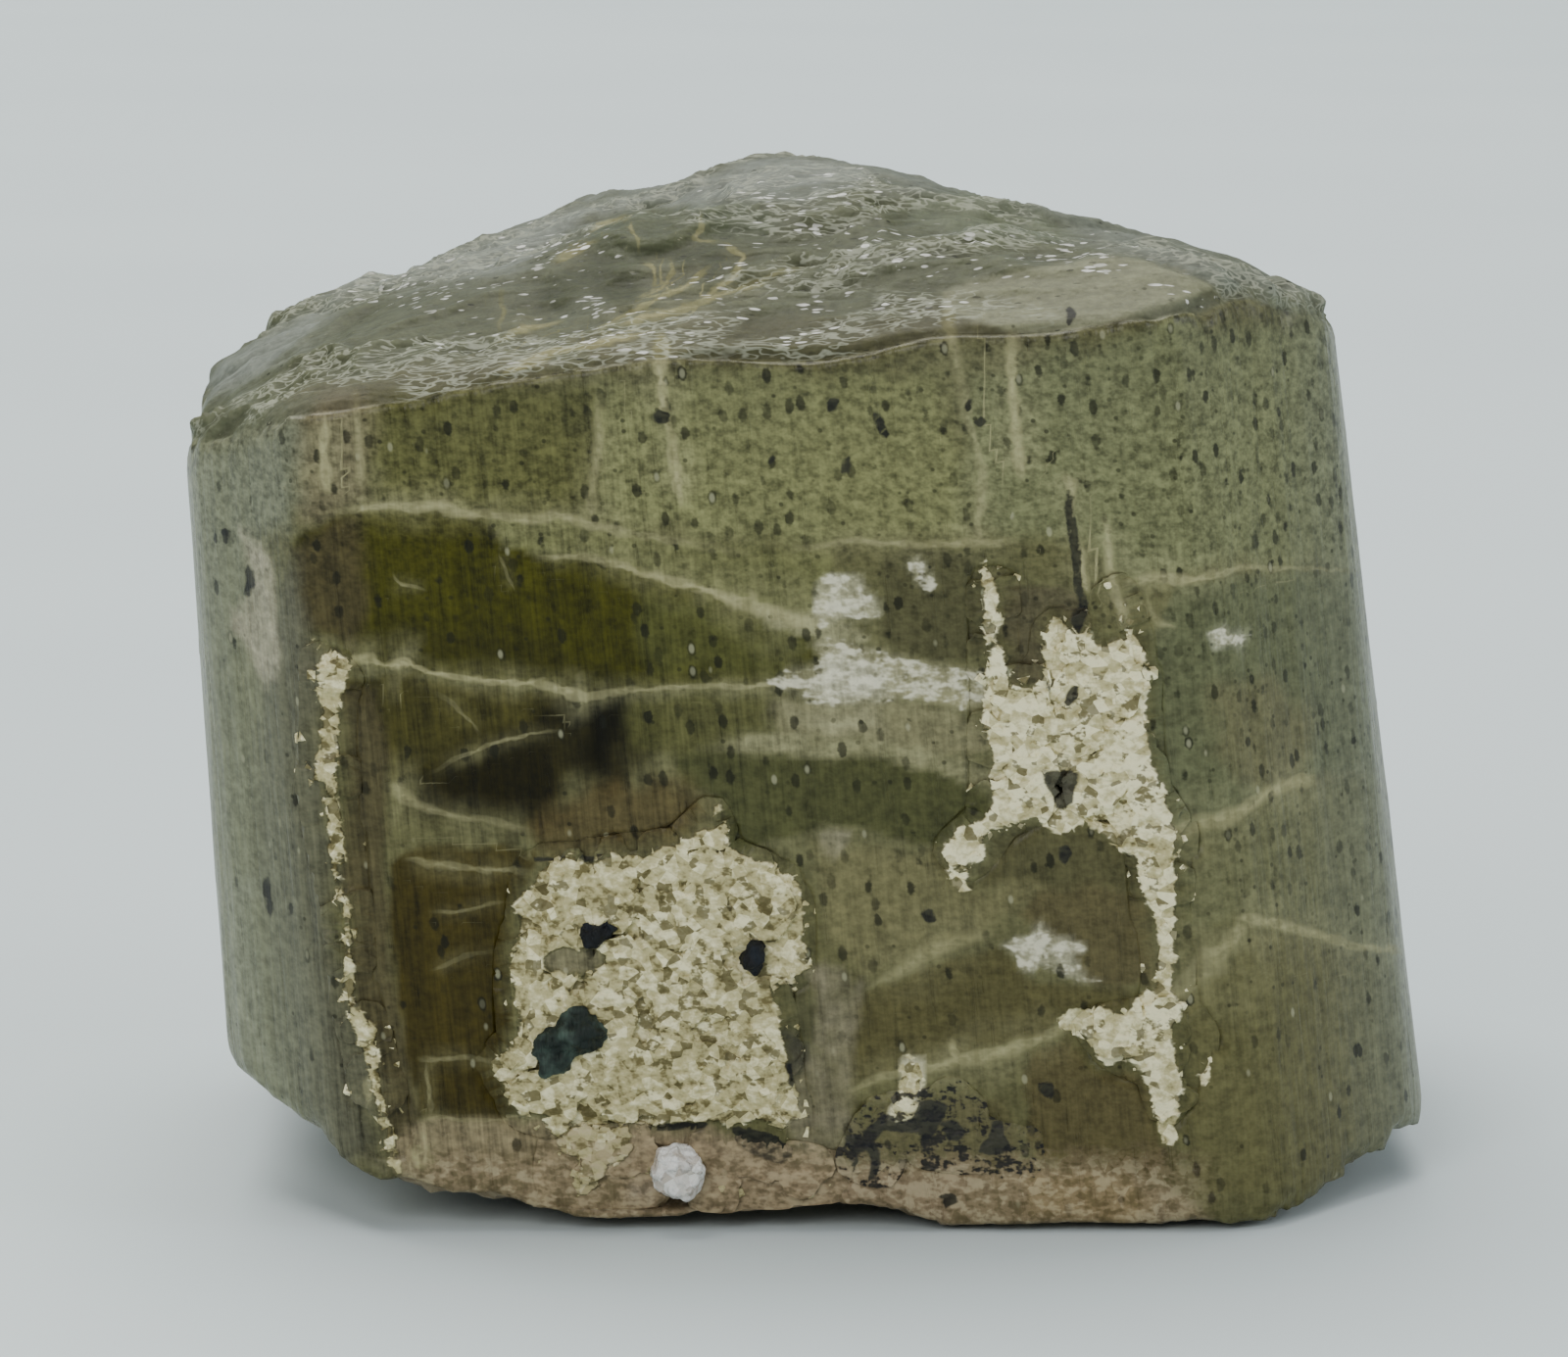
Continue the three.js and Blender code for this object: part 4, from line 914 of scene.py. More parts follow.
# Healed cracks, as x, z, half width and how strongly it shows, over and over. Lines that meet are in
# different sets: veils across, veils beside them, hairs on the broken top, and upright seams.
LINES = {
    "veils": {
        "upper veil": [
            -16.2, 25.5, 0.07, 0, -15.6, 25.6, 0.14, 0.5, -14.2, 25.7, 0.17, 0.75, -12.5, 25.7, 0.2, 0.8,
            -11.5, 25.5, 0.14, 0.7, -10.7, 25.4, 0.14, 0.6, -9.7, 25.3, 0.17, 0.7, -8.6, 25.4, 0.14, 0.6,
            -7.8, 25.2, 0.2, 0.6, -6.6, 24.9, 0.17, 0.5, -4.8, 24.6, 0.14, 0.35, -2.7, 24.2, 0.14, 0.2,
            -1.4, 24, 0.1, 0,
        ],
        "middle veil": [
            -15.8, 20.1, 0.1, 0, -15.5, 20.3, 0.17, 0.8, -15, 20.3, 0.17, 0.8, -14.6, 20.1, 0.07, 0.7,
            -14.2, 20.1, 0.2, 0.9, -13.8, 20.3, 0.2, 1, -13.5, 20.1, 0.1, 0.8, -12.7, 19.8, 0.1, 0.7,
            -11.7, 19.7, 0.1, 0.7, -10.8, 19.6, 0.14, 0.8, -9.5, 19.5, 0.1, 0.7, -8.3, 19.3, 0.14, 0.8,
            -7.6, 19.1, 0.17, 0.9, -7, 19.2, 0.1, 0.6, -4.8, 19.4, 0.08, 0.5, -2.7, 19.4, 0.08, 0.5, -1.2,
            19.5, 0.1, 0.7, -0.7, 19.6, 0.1, 0,
        ],
        "heart line": [
            -13, 16.4, 0.07, 0, -11.5, 17.1, 0.08, 0.45, -10.3, 17.5, 0.08, 0.5, -9.1, 17.8, 0.07, 0.3,
            -8.3, 18, 0.07, 0,
        ],
        "low left veil 1": [
            -14.4, 15.7, 0.17, 0, -14, 15.8, 0.24, 0.7, -13.7, 15.6, 0.24, 0.6, -13.2, 15.3, 0.17, 0.45,
            -12.4, 15, 0.12, 0.4, -11.3, 14.8, 0.12, 0.4, -10, 14.5, 0.14, 0.3, -9.3, 14.4, 0.14, 0,
        ],
        "low left veil 2": [
            -13.8, 13.3, 0.07, 0, -13.4, 13.3, 0.1, 0.4, -12.2, 13.2, 0.12, 0.5, -11.2, 13.1, 0.12, 0.45,
            -10, 13, 0.1, 0.4, -9.3, 12.8, 0.1, 0,
        ],
        "low left veil 3": [
            -13.4, 6.3, 0.07, 0, -12.9, 6.3, 0.1, 0.4, -11.8, 6.4, 0.08, 0.35, -10.7, 6.3, 0.08, 0.3,
            -10.3, 6.3, 0.07, 0,
        ],
        "upper right veil": [
            -0.9, 24.1, 0.07, 0, 0.3, 24.3, 0.1, 0.4, 2, 24.5, 0.12, 0.5, 4, 24.3, 0.1, 0.5, 5.5, 24.5,
            0.14, 0.6, 6.7, 24.5, 0.12, 0.6, 7.6, 24.5, 0.1, 0,
        ],
        "right veil": [
            11, 22.9, 0.07, 0, 11.5, 23.2, 0.2, 0.6, 12.1, 23.3, 0.2, 0.7, 12.7, 23.2, 0.17, 0.8, 13.4,
            23.2, 0.14, 0.8, 14.2, 23.4, 0.14, 0.6, 15.5, 23.6, 0.1, 0.5, 16.9, 23.5, 0.08, 0.35, 18.7,
            23.4, 0.08, 0.2, 19.2, 23.4, 0.07, 0,
        ],
        "right low veil": [
            12.5, 14.2, 0.27, 0, 12.8, 14.3, 0.3, 0.6, 13.4, 14.5, 0.27, 0.6, 14.3, 14.8, 0.24, 0.6, 15.1,
            15.1, 0.2, 0.65, 15.8, 15.6, 0.2, 0.7, 16.4, 15.9, 0.2, 0.7, 17.2, 16.1, 0.24, 0.7, 17.7, 16.2,
            0.2, 0.3, 17.9, 16.3, 0.14, 0,
        ],
        "right fan": [
            12.5, 8.2, 0.17, 0, 12.9, 8.7, 0.24, 0.6, 13.4, 9.2, 0.37, 0.55, 14.1, 9.8, 0.47, 0.55, 14.7,
            10.3, 0.37, 0.55, 15, 10.9, 0.27, 0.5, 14.9, 11.3, 0.14, 0,
        ],
        "middle foot veil": [
            1.9, 8.7, 0.07, 0, 2.7, 9.2, 0.17, 0.4, 3.7, 9.8, 0.27, 0.45, 4.6, 10.3, 0.27, 0.45, 5.7, 10.6,
            0.2, 0.4, 6.6, 10.9, 0.17, 0,
        ],
        "foot veil": [
            1.3, 5.2, 0.07, 0, 1.8, 5.4, 0.14, 0.5, 2.8, 5.8, 0.17, 0.6, 3.9, 6.1, 0.17, 0.6, 4.9, 6.2,
            0.2, 0.7, 6.1, 6.4, 0.24, 0.75, 7.1, 6.7, 0.24, 0.75, 7.9, 7.1, 0.17, 0.6, 8.8, 7.4, 0.2, 0.6,
            9.1, 7.6, 0.17, 0,
        ],
        "bottom edge line": [
            -13.4, 4.3, 0.07, 0, -12.9, 4.3, 0.07, 0.4, -10.8, 4.3, 0.07, 0.4, -9.3, 4.2, 0.07, 0.3, -8.8,
            4.1, 0.07, 0,
        ],
    },
    "side veils": {
        "slant veil": [
            -9.3, 24, 0.07, 0, -8.5, 24, 0.1, 0.5, -7.5, 23.9, 0.1, 0.6, -6.1, 23.6, 0.14, 0.7, -4.8, 23.2,
            0.17, 0.75, -3.4, 22.8, 0.17, 0.8, -2.1, 22.4, 0.24, 0.8, -0.7, 21.9, 0.3, 0.8, 0.1, 21.7,
            0.27, 0.7, 0.7, 21.6, 0.2, 0,
        ],
        "fan, right arm": [
            14.8, 11.3, 0.14, 0, 15.2, 11.3, 0.2, 0.6, 15.9, 11.2, 0.24, 0.65, 16.9, 10.9, 0.2, 0.6, 17.9,
            10.6, 0.17, 0.55, 19.1, 10.4, 0.14, 0.5, 20.3, 10.2, 0.14, 0.4, 20.7, 10.1, 0.1, 0,
        ],
        "heart spark": [
            -8.3, 19.2, 0.07, 0, -7.8, 19.1, 0.17, 1, -7.5, 19.1, 0.14, 0,
        ],
        "middle haze line": [
            2.8, 19, 0.1, 0, 4, 19.2, 0.17, 0.5, 5.5, 18.9, 0.17, 0.6, 6.2, 18.5, 0.14, 0,
        ],
        "scratch 1": [
            -10.6, 24, 0.04, 0, -10.4, 23.7, 0.05, 0.35, -10.1, 22.9, 0.05, 0.35, -10, 22.7, 0.04, 0,
        ],
        "scratch 2": [
            -14.1, 23.3, 0.05, 0, -13.9, 23, 0.07, 0.5, -13.5, 22.9, 0.07, 0.5, -13.1, 22.8, 0.05, 0,
        ],
        "faint slant left": [
            -12.9, 19.2, 0.05, 0, -12.2, 18.8, 0.07, 0.3, -11.5, 18.2, 0.07, 0.3, -11.1, 17.7, 0.07, 0,
        ],
        "fine veil low left": [
            -12.9, 11.5, 0.05, 0, -12.4, 11.5, 0.07, 0.35, -11.5, 11.7, 0.07, 0.35, -10.6, 11.8, 0.07, 0.2,
            -10.3, 11.9, 0.05, 0,
        ],
        "fine veil lower left": [
            -12.9, 9.5, 0.05, 0, -12.5, 9.7, 0.07, 0.3, -11.5, 10, 0.07, 0.25, -10.4, 10.2, 0.05, 0,
        ],
        "right chip trail": [
            11.7, 23.2, 0.07, 0, 11.9, 22.2, 0.1, 0.3, 12.3, 21.6, 0.14, 0.5, 12.7, 21.5, 0.1, 0.4, 12.9,
            21.4, 0.07, 0,
        ],
    },
    "hairs": {
        "hair 1": [
            -3.7, 36.1, 0.05, 0, -3.6, 35.5, 0.08, 0.7, -3.8, 35.1, 0.08, 0.7, -3.3, 35, 0.07, 0.6, -2.9,
            35, 0.05, 0,
        ],
        "hair 2": [
            -2.9, 35, 0.05, 0, -2.5, 34.8, 0.08, 0.7, -2.1, 34.4, 0.1, 0.8, -2.3, 33.9, 0.1, 0.8, -2.8,
            33.5, 0.12, 0.7, -3.4, 33, 0.1, 0.7, -4.2, 32.5, 0.08, 0.6, -5.4, 32.1, 0.07, 0,
        ],
        "hair 3": [
            -4.7, 34.5, 0.05, 0, -4.5, 34, 0.08, 0.7, -4.8, 33.5, 0.08, 0.8, -5.4, 33.2, 0.08, 0.7, -5.8,
            33.1, 0.05, 0,
        ],
        "hair 4": [
            -3.2, 34.2, 0.07, 0, -3.7, 33.8, 0.1, 0.8, -4.1, 33.4, 0.1, 0.8, -4.9, 33.1, 0.1, 0.7, -5.8,
            32.6, 0.1, 0.7, -6.7, 32.2, 0.1, 0.7, -7.4, 31.7, 0.07, 0,
        ],
        "hair 5": [
            -6.1, 36, 0.05, 0, -5.9, 35.6, 0.07, 0.6, -5.7, 35, 0.07, 0.6, -5.6, 34.6, 0.05, 0,
        ],
        "hair 6": [
            -7.6, 35.2, 0.07, 0, -7.1, 35.6, 0.1, 0.7, -6.4, 35.8, 0.1, 0.6, -5.9, 35.9, 0.07, 0,
        ],
        "hair 7": [
            -5.7, 34.2, 0.05, 0, -5.3, 34.1, 0.08, 0.7, -5.2, 33.7, 0.08, 0.7, -5.4, 33.2, 0.07, 0,
        ],
        "hair 8": [
            -10.8, 31.4, 0.07, 0, -9.8, 31.9, 0.14, 0.7, -8.8, 32.1, 0.1, 0.5, -8.1, 32.3, 0.07, 0,
        ],
        "hair 9": [
            -10.8, 30.1, 0.07, 0, -10, 30.6, 0.14, 0.7, -8.8, 31.1, 0.14, 0.7, -7.5, 31.4, 0.14, 0.6, -6.1,
            31.6, 0.14, 0.7, -4.8, 32, 0.1, 0,
        ],
        "hair 10": [
            -8.8, 34.2, 0.07, 0, -8.3, 34.5, 0.14, 0.8, -7.5, 34.9, 0.1, 0.6, -7, 35.1, 0.07, 0,
        ],
        "hair 11": [
            -10.5, 33.5, 0.07, 0, -10.4, 32.5, 0.08, 0.5, -10.6, 31.6, 0.07, 0,
        ],
        "hair 12": [
            -6.8, 32, 0.07, 0, -5.8, 32.3, 0.14, 0.7, -4.4, 32.6, 0.14, 0.7, -2.7, 33.2, 0.14, 0.6, -1,
            33.8, 0.1, 0.5, 0.3, 34.2, 0.07, 0,
        ],
    },
    "seams": {
        "seam 1": [
            -16.6, 29, 0.07, 0, -16.5, 28.4, 0.12, 0.6, -16.6, 27.5, 0.12, 0.7, -16.6, 26.8, 0.2, 0.9,
            -16.5, 26.3, 0.14, 0.5, -16.5, 26.1, 0.1, 0,
        ],
        "seam 2": [
            -15.5, 29.9, 0.1, 0, -15.4, 28.9, 0.14, 0.4, -15.4, 27.7, 0.14, 0.35, -15.4, 26.6, 0.17, 0.5,
            -15.4, 26.4, 0.1, 0,
        ],
        "seam 3": [
            -7.1, 29.7, 0.14, 0, -7.1, 28.4, 0.17, 0.35, -7.2, 27, 0.17, 0.4, -7.3, 25.6, 0.17, 0.3, -7.3,
            25.2, 0.14, 0,
        ],
        "seam 4": [
            -5, 32.1, 0.2, 0, -4.9, 31.4, 0.24, 0.7, -5, 30.2, 0.2, 0.7, -4.9, 29.3, 0.17, 0.6, -4.7, 28.5,
            0.1, 0.5, -4.6, 27.5, 0.17, 0.75, -4.4, 26.6, 0.17, 0.8, -4.3, 26, 0.1, 0.5, -4.3, 25.7, 0.07,
            0,
        ],
        "seam 5": [
            7.1, 32.1, 0.17, 0, 7.1, 31.1, 0.2, 0.6, 7.2, 29.9, 0.2, 0.7, 7.3, 28.9, 0.2, 0.85, 7.4, 27.8,
            0.2, 0.8, 7.5, 27.1, 0.17, 0.7, 7.5, 26.6, 0.1, 0,
        ],
        "seam 6": [
            4.9, 33.3, 0.2, 0, 5, 32.1, 0.2, 0.4, 5.3, 30.1, 0.14, 0.25, 5.8, 28.4, 0.14, 0.35, 6.1, 27,
            0.14, 0.35, 6, 25.8, 0.17, 0.45, 6, 24.8, 0.14, 0.4, 6, 24.4, 0.1, 0,
        ],
        "seam 7": [
            9, 27, 0.1, 0, 9.1, 26.6, 0.17, 0.7, 9.2, 25.3, 0.1, 0.5, 9.3, 24.4, 0.14, 0.8, 9.6, 23.5, 0.2,
            0.8, 9.7, 22.9, 0.17, 0.5, 9.8, 22.5, 0.1, 0,
        ],
        "seam 8": [
            10.3, 25.6, 0.1, 0, 10.4, 24.8, 0.14, 0.5, 10.5, 23.9, 0.17, 0.6, 10.7, 22.9, 0.17, 0.5, 11,
            22.1, 0.17, 0.7, 11.1, 21.3, 0.17, 0,
        ],
        "seam 9": [
            5, 7.1, 0.1, 0, 5.1, 6.8, 0.14, 0.7, 5.2, 6.4, 0.14, 0.7, 5.3, 6, 0.1, 0,
        ],
        "seam 10": [
            -13.2, 4.3, 0.07, 0, -13.1, 3.7, 0.1, 0.4, -12.9, 2.8, 0.1, 0.3, -12.9, 2.3, 0.07, 0,
        ],
        "seam 11": [
            -13.5, 3.5, 0.07, 0, -13.4, 3, 0.14, 0.7, -13.3, 2.6, 0.14, 0.6, -13.2, 2.4, 0.07, 0,
        ],
        "seam 12": [
            -15, 5.7, 0.1, 0, -15, 5.3, 0.17, 0.7, -15.1, 4.9, 0.14, 0.5, -15.2, 4.6, 0.07, 0,
        ],
        "seam 13": [
            -13, 6.3, 0.07, 0, -13, 5.7, 0.08, 0.4, -12.9, 4.7, 0.08, 0.3, -12.9, 4.3, 0.07, 0,
        ],
    },
}
# The milky places that crumble into specks
CRUMBLY = ("milky heart", "milky above", "chip", "right chip", "bright crumbs")
# The colours under everything: the crystal's two olives, bands and brown seams of its far sides (with where
# they start and end on the noise, and their cover), its pale left and right edges (partly their own colour,
# partly painted reflection), the haze along veils, and its broken top
OLIVES = ("5c5a38", "6a694a")
FAR_BANDS = (("3c3d18", 0.15, -0.5, 0.8), ("716f4c", 0.0, 0.6, 0.6))
SEAM_BROWN = "4d4022"
LEFT_RIM_AND_SHEEN = "898c70"
RIGHT_RIM_AND_SHEEN = "7d8069"
VEIL_HAZE = "a09d76"
TOP_GREY = "6c7256"
SOFTEST_EDGE = 0.12  # areas and milky places are drawn with an edge at least this soft
WOBBLE, WOBBLE_SIZE = 0.11, 0.9  # how far drawn edges stray, and over what length
FRONT_ENDS = (14.0, 8.0)  # how far back the drawing on the front has faded out, and starts to fade
FAR_LINE = 9.0  # what stands for no line near, in half widths


def on_front(points):
    """Where on the front face's plane each point lies, along straight lines from a place far in front."""
    rise, run = math.sin(VIEW_RISE), math.cos(VIEW_RISE)
    x, y, z = (points - np.array(VIEW_AT)).T
    shrink = (VIEW_FAR + FRONT * run) / (VIEW_FAR + y * run - z * rise)
    flat = points.copy()
    flat[:, 0] = VIEW_AT[0] + x * shrink
    flat[:, 2] = VIEW_AT[2] + ((z * run + y * rise) * shrink - FRONT * rise) / run
    return flat


def nearest_on(points, spine):
    """For points seen from the front: how far each is from a line, above it or to its left being positive.

    The spine's rows are x, z and any values, which are also given for the nearest place on the line."""
    spots = points[:, [0, 2]]
    best = np.full(len(points), 1e9)
    side = np.ones(len(points))
    carried = np.zeros((len(points), spine.shape[1] - 2))
    for first, second in zip(spine[:-1], spine[1:]):
        run = second[:2] - first[:2]
        local = spots - first[:2]
        share = np.clip(local @ run / max(run @ run, 1e-9), 0, 1)
        off = local - share[:, None] * run
        away = np.hypot(off[:, 0], off[:, 1])
        closer = away < best
        best = np.where(closer, away, best)
        side = np.where(closer, np.where(run[0] * off[:, 1] - run[1] * off[:, 0] >= 0, 1.0, -1.0), side)
        values = first[2:] + share[:, None] * (second[2:] - first[2:])
        carried = np.where(closer[:, None], values, carried)
    return best * side, carried


def depth_in(points, outline):
    """For points seen from the front: how far inside an outline each is, or negative outside it."""
    corners = np.array(outline, dtype=float).reshape(-1, 2)
    ring = np.vstack([corners, corners[:1]])
    away = np.abs(nearest_on(points, ring)[0])
    x, z = points[:, 0], points[:, 2]
    inside = np.zeros(len(points), dtype=bool)
    for (x0, z0), (x1, z1) in zip(ring[:-1], ring[1:]):
        if z0 != z1:
            inside ^= ((z0 > z) != (z1 > z)) & (x < x0 + (x1 - x0) * (z - z0) / (z1 - z0))
    return np.where(inside, away, -away)


def deepest(points, outlines):
    """How far inside the nearest of many outlines each point is, at most a millimetre in or out."""
    depth = np.full(len(points), -1.0)
    for outline in outlines:
        depth = np.maximum(depth, depth_in(points, outline))
    return np.minimum(depth, 1.0)


def nearest_line(points, lines):
    """How many half widths each point is from the nearest line, and how strongly that line shows there."""
    best, shown = np.full(len(points), FAR_LINE), np.zeros(len(points))
    for spine in lines.values():
        away, carried = nearest_on(points, np.array(spine, dtype=float).reshape(-1, 4))
        away = away / np.maximum(carried[:, 0], 0.03)
        closer = np.abs(away) < np.abs(best)
        best, shown = np.where(closer, away, best), np.where(closer, carried[:, 1], shown)
    return np.clip(best, -FAR_LINE, FAR_LINE), shown * step(8.5, 5.0, np.abs(best))


def closeness(points, middle, half):
    """For points seen from the front: 1 at an oval's middle, a half at its edge and falling on."""
    away = np.hypot((points[:, 0] - middle[0]) / half[0], (points[:, 2] - middle[1]) / half[1])
    return np.clip(1 - 0.5 * away, 0, 1)


def lay(tone, share, code):
    """Lays a colour over tones, as thickly as each point's share says."""
    return tone + (np.array(paint(code)[:3]) - tone) * share[:, None]


def under_tones(points, front):
    """The crystal's tones before anything is drawn on them: olive, with bands and seams on its far sides."""
    wide = swells(points / (7.0, 7.0, 5.0), 83)
    banded = layered(points / (9.0, 9.0, 4.0), 3, 87)
    seamed = step(0.45, 0.9, swells(points / (4.0, 4.0, 9.0), 89)) * 0.6
    tone = lay(np.tile(np.array(paint(OLIVES[0])[:3]), (len(points), 1)), wide, OLIVES[1])
    for code, low, high, cover in FAR_BANDS:
        tone = lay(tone, step(low, high, banded) * cover * (1 - front), code)
    return lay(tone, seamed * (1 - front), SEAM_BROWN)


def lay_rims_and_sheen(tone, rim_and_sheen, across):
    """Lays the pale left and right edges over tones, partly their own colour and partly painted reflection;
    across is 0 at the left and 1 at the right.
    """
    return lay(lay(tone, rim_and_sheen * (1 - across), LEFT_RIM_AND_SHEEN), rim_and_sheen * across, RIGHT_RIM_AND_SHEEN)


def draw_areas(tone, spots, near, shows, high, rims_and_sheen):
    """Draws the front's areas, the broken top's and the milky places over the tones of the seen points."""
    wander = layered(near / (1.6, 1.6, 2.2), 3, 105)
    crumbly = 0.8 + 0.35 * layered(near / 0.5, 2, 107)
    for code, cover, soft, outline in AREAS.values():
        soft = max(soft, SOFTEST_EDGE)
        depth = depth_in(spots, outline) + 0.9 * soft * wander
        tone = lay(tone, step(-soft, soft, depth) * cover * shows, code)
    tone = lay_rims_and_sheen(tone, *rims_and_sheen)
    from_front = near[:, 1] - FRONT - 0.8 + 1.2 * wander
    tone = lay(tone, high * 0.85 * step(-0.5, 3.5, from_front), TOP_GREY)
    for code, cover, soft, outline in TOPS.values():
        depth = depth_in(spots, outline) + 0.5 * soft * wander
        tone = lay(tone, step(-soft, soft, depth) * cover * high, code)
    for code, cover, soft, outline in MILKY.values():
        soft = max(soft, SOFTEST_EDGE)
        share = step(-soft, soft, depth_in(spots, outline) + 0.1 * (crumbly - 0.8))
        tone = lay(tone, np.clip(share * cover * crumbly, 0, 1) * shows, code)
    return tone, np.clip(crumbly - 0.25, 0, 1)


def paint_zones(mesh, points, all_sugar=False, top=None):
    """Stores the crystal's colours, and how far each point is from the edges of what is drawn on it."""
    front = step(*FRONT_ENDS, points[:, 1] - FRONT)
    tone = under_tones(points, front)
    across = step(-12.0, 0.0, points[:, 0])
    # The pale left and right edges: partly the crystal's own colour, partly painted reflection of the bright
    # surroundings.
    rim_and_sheen = step(16.8, 21.0, np.abs(lean_back(points)[:, 0])) * 0.75 * (0.4 + 0.6 * front)
    tone = lay_rims_and_sheen(tone, rim_and_sheen, across)

    top = np.zeros(len(points)) if top is None else top
    seen = (front > 0) | (top > 0)
    near, shows, high = points[seen], front[seen], top[seen]
    spots = on_front(near)
    for axis, seed in ((0, 101), (2, 103)):
        spots[:, axis] += WOBBLE * layered(near / WOBBLE_SIZE, 3, seed)
    drawn, crumbly = draw_areas(tone[seen], spots, near, shows, high, (rim_and_sheen[seen], across[seen]))

    fields = {}
    for name, lines in LINES.items():
        far, strong = nearest_line(spots, lines)
        halo = step(8.0, 0.5, np.abs(far)) * crumbly * strong
        drawn = lay(drawn, halo * 0.5 * shows, VEIL_HAZE)
        fields[name], fields[name + " shown"] = np.full(len(points), FAR_LINE), np.zeros(len(points))
        fields[name][seen] = far
        fields[name + " shown"][seen] = strong * (high if name == "hairs" else shows)
    tone[seen] = drawn

    sugar = np.minimum(deepest(spots, CREAM.values()), -depth_in(spots, SMOOTH_GRAIN))
    milk = deepest(spots, [MILKY[name][3] for name in CRUMBLY])
    for name, depth in {"sugar": sugar, "dark": deepest(spots, DARKS.values()), "milk": milk}.items():
        fields[name] = np.full(len(points), -1.0)
        fields[name][seen] = depth
    if all_sugar:
        fields["sugar"][:] = 1.0
    # How thickly the painted glints crowd on the broken top
    fields["painted_glints"] = np.zeros(len(points))
    for middle, half, thick in PAINTED_GLINT_SPOTS:
        near_by = closeness(spots, middle, half) * thick
        fields["painted_glints"][seen] = np.maximum(fields["painted_glints"][seen], near_by * high)
    tones = np.column_stack([tone, np.ones(len(points))]).astype(np.float32)
    mesh.attributes.new("tone", "FLOAT_COLOR", "POINT").data.foreach_set("color", tones.ravel())
    store(mesh, fields)
    return fields["sugar"]


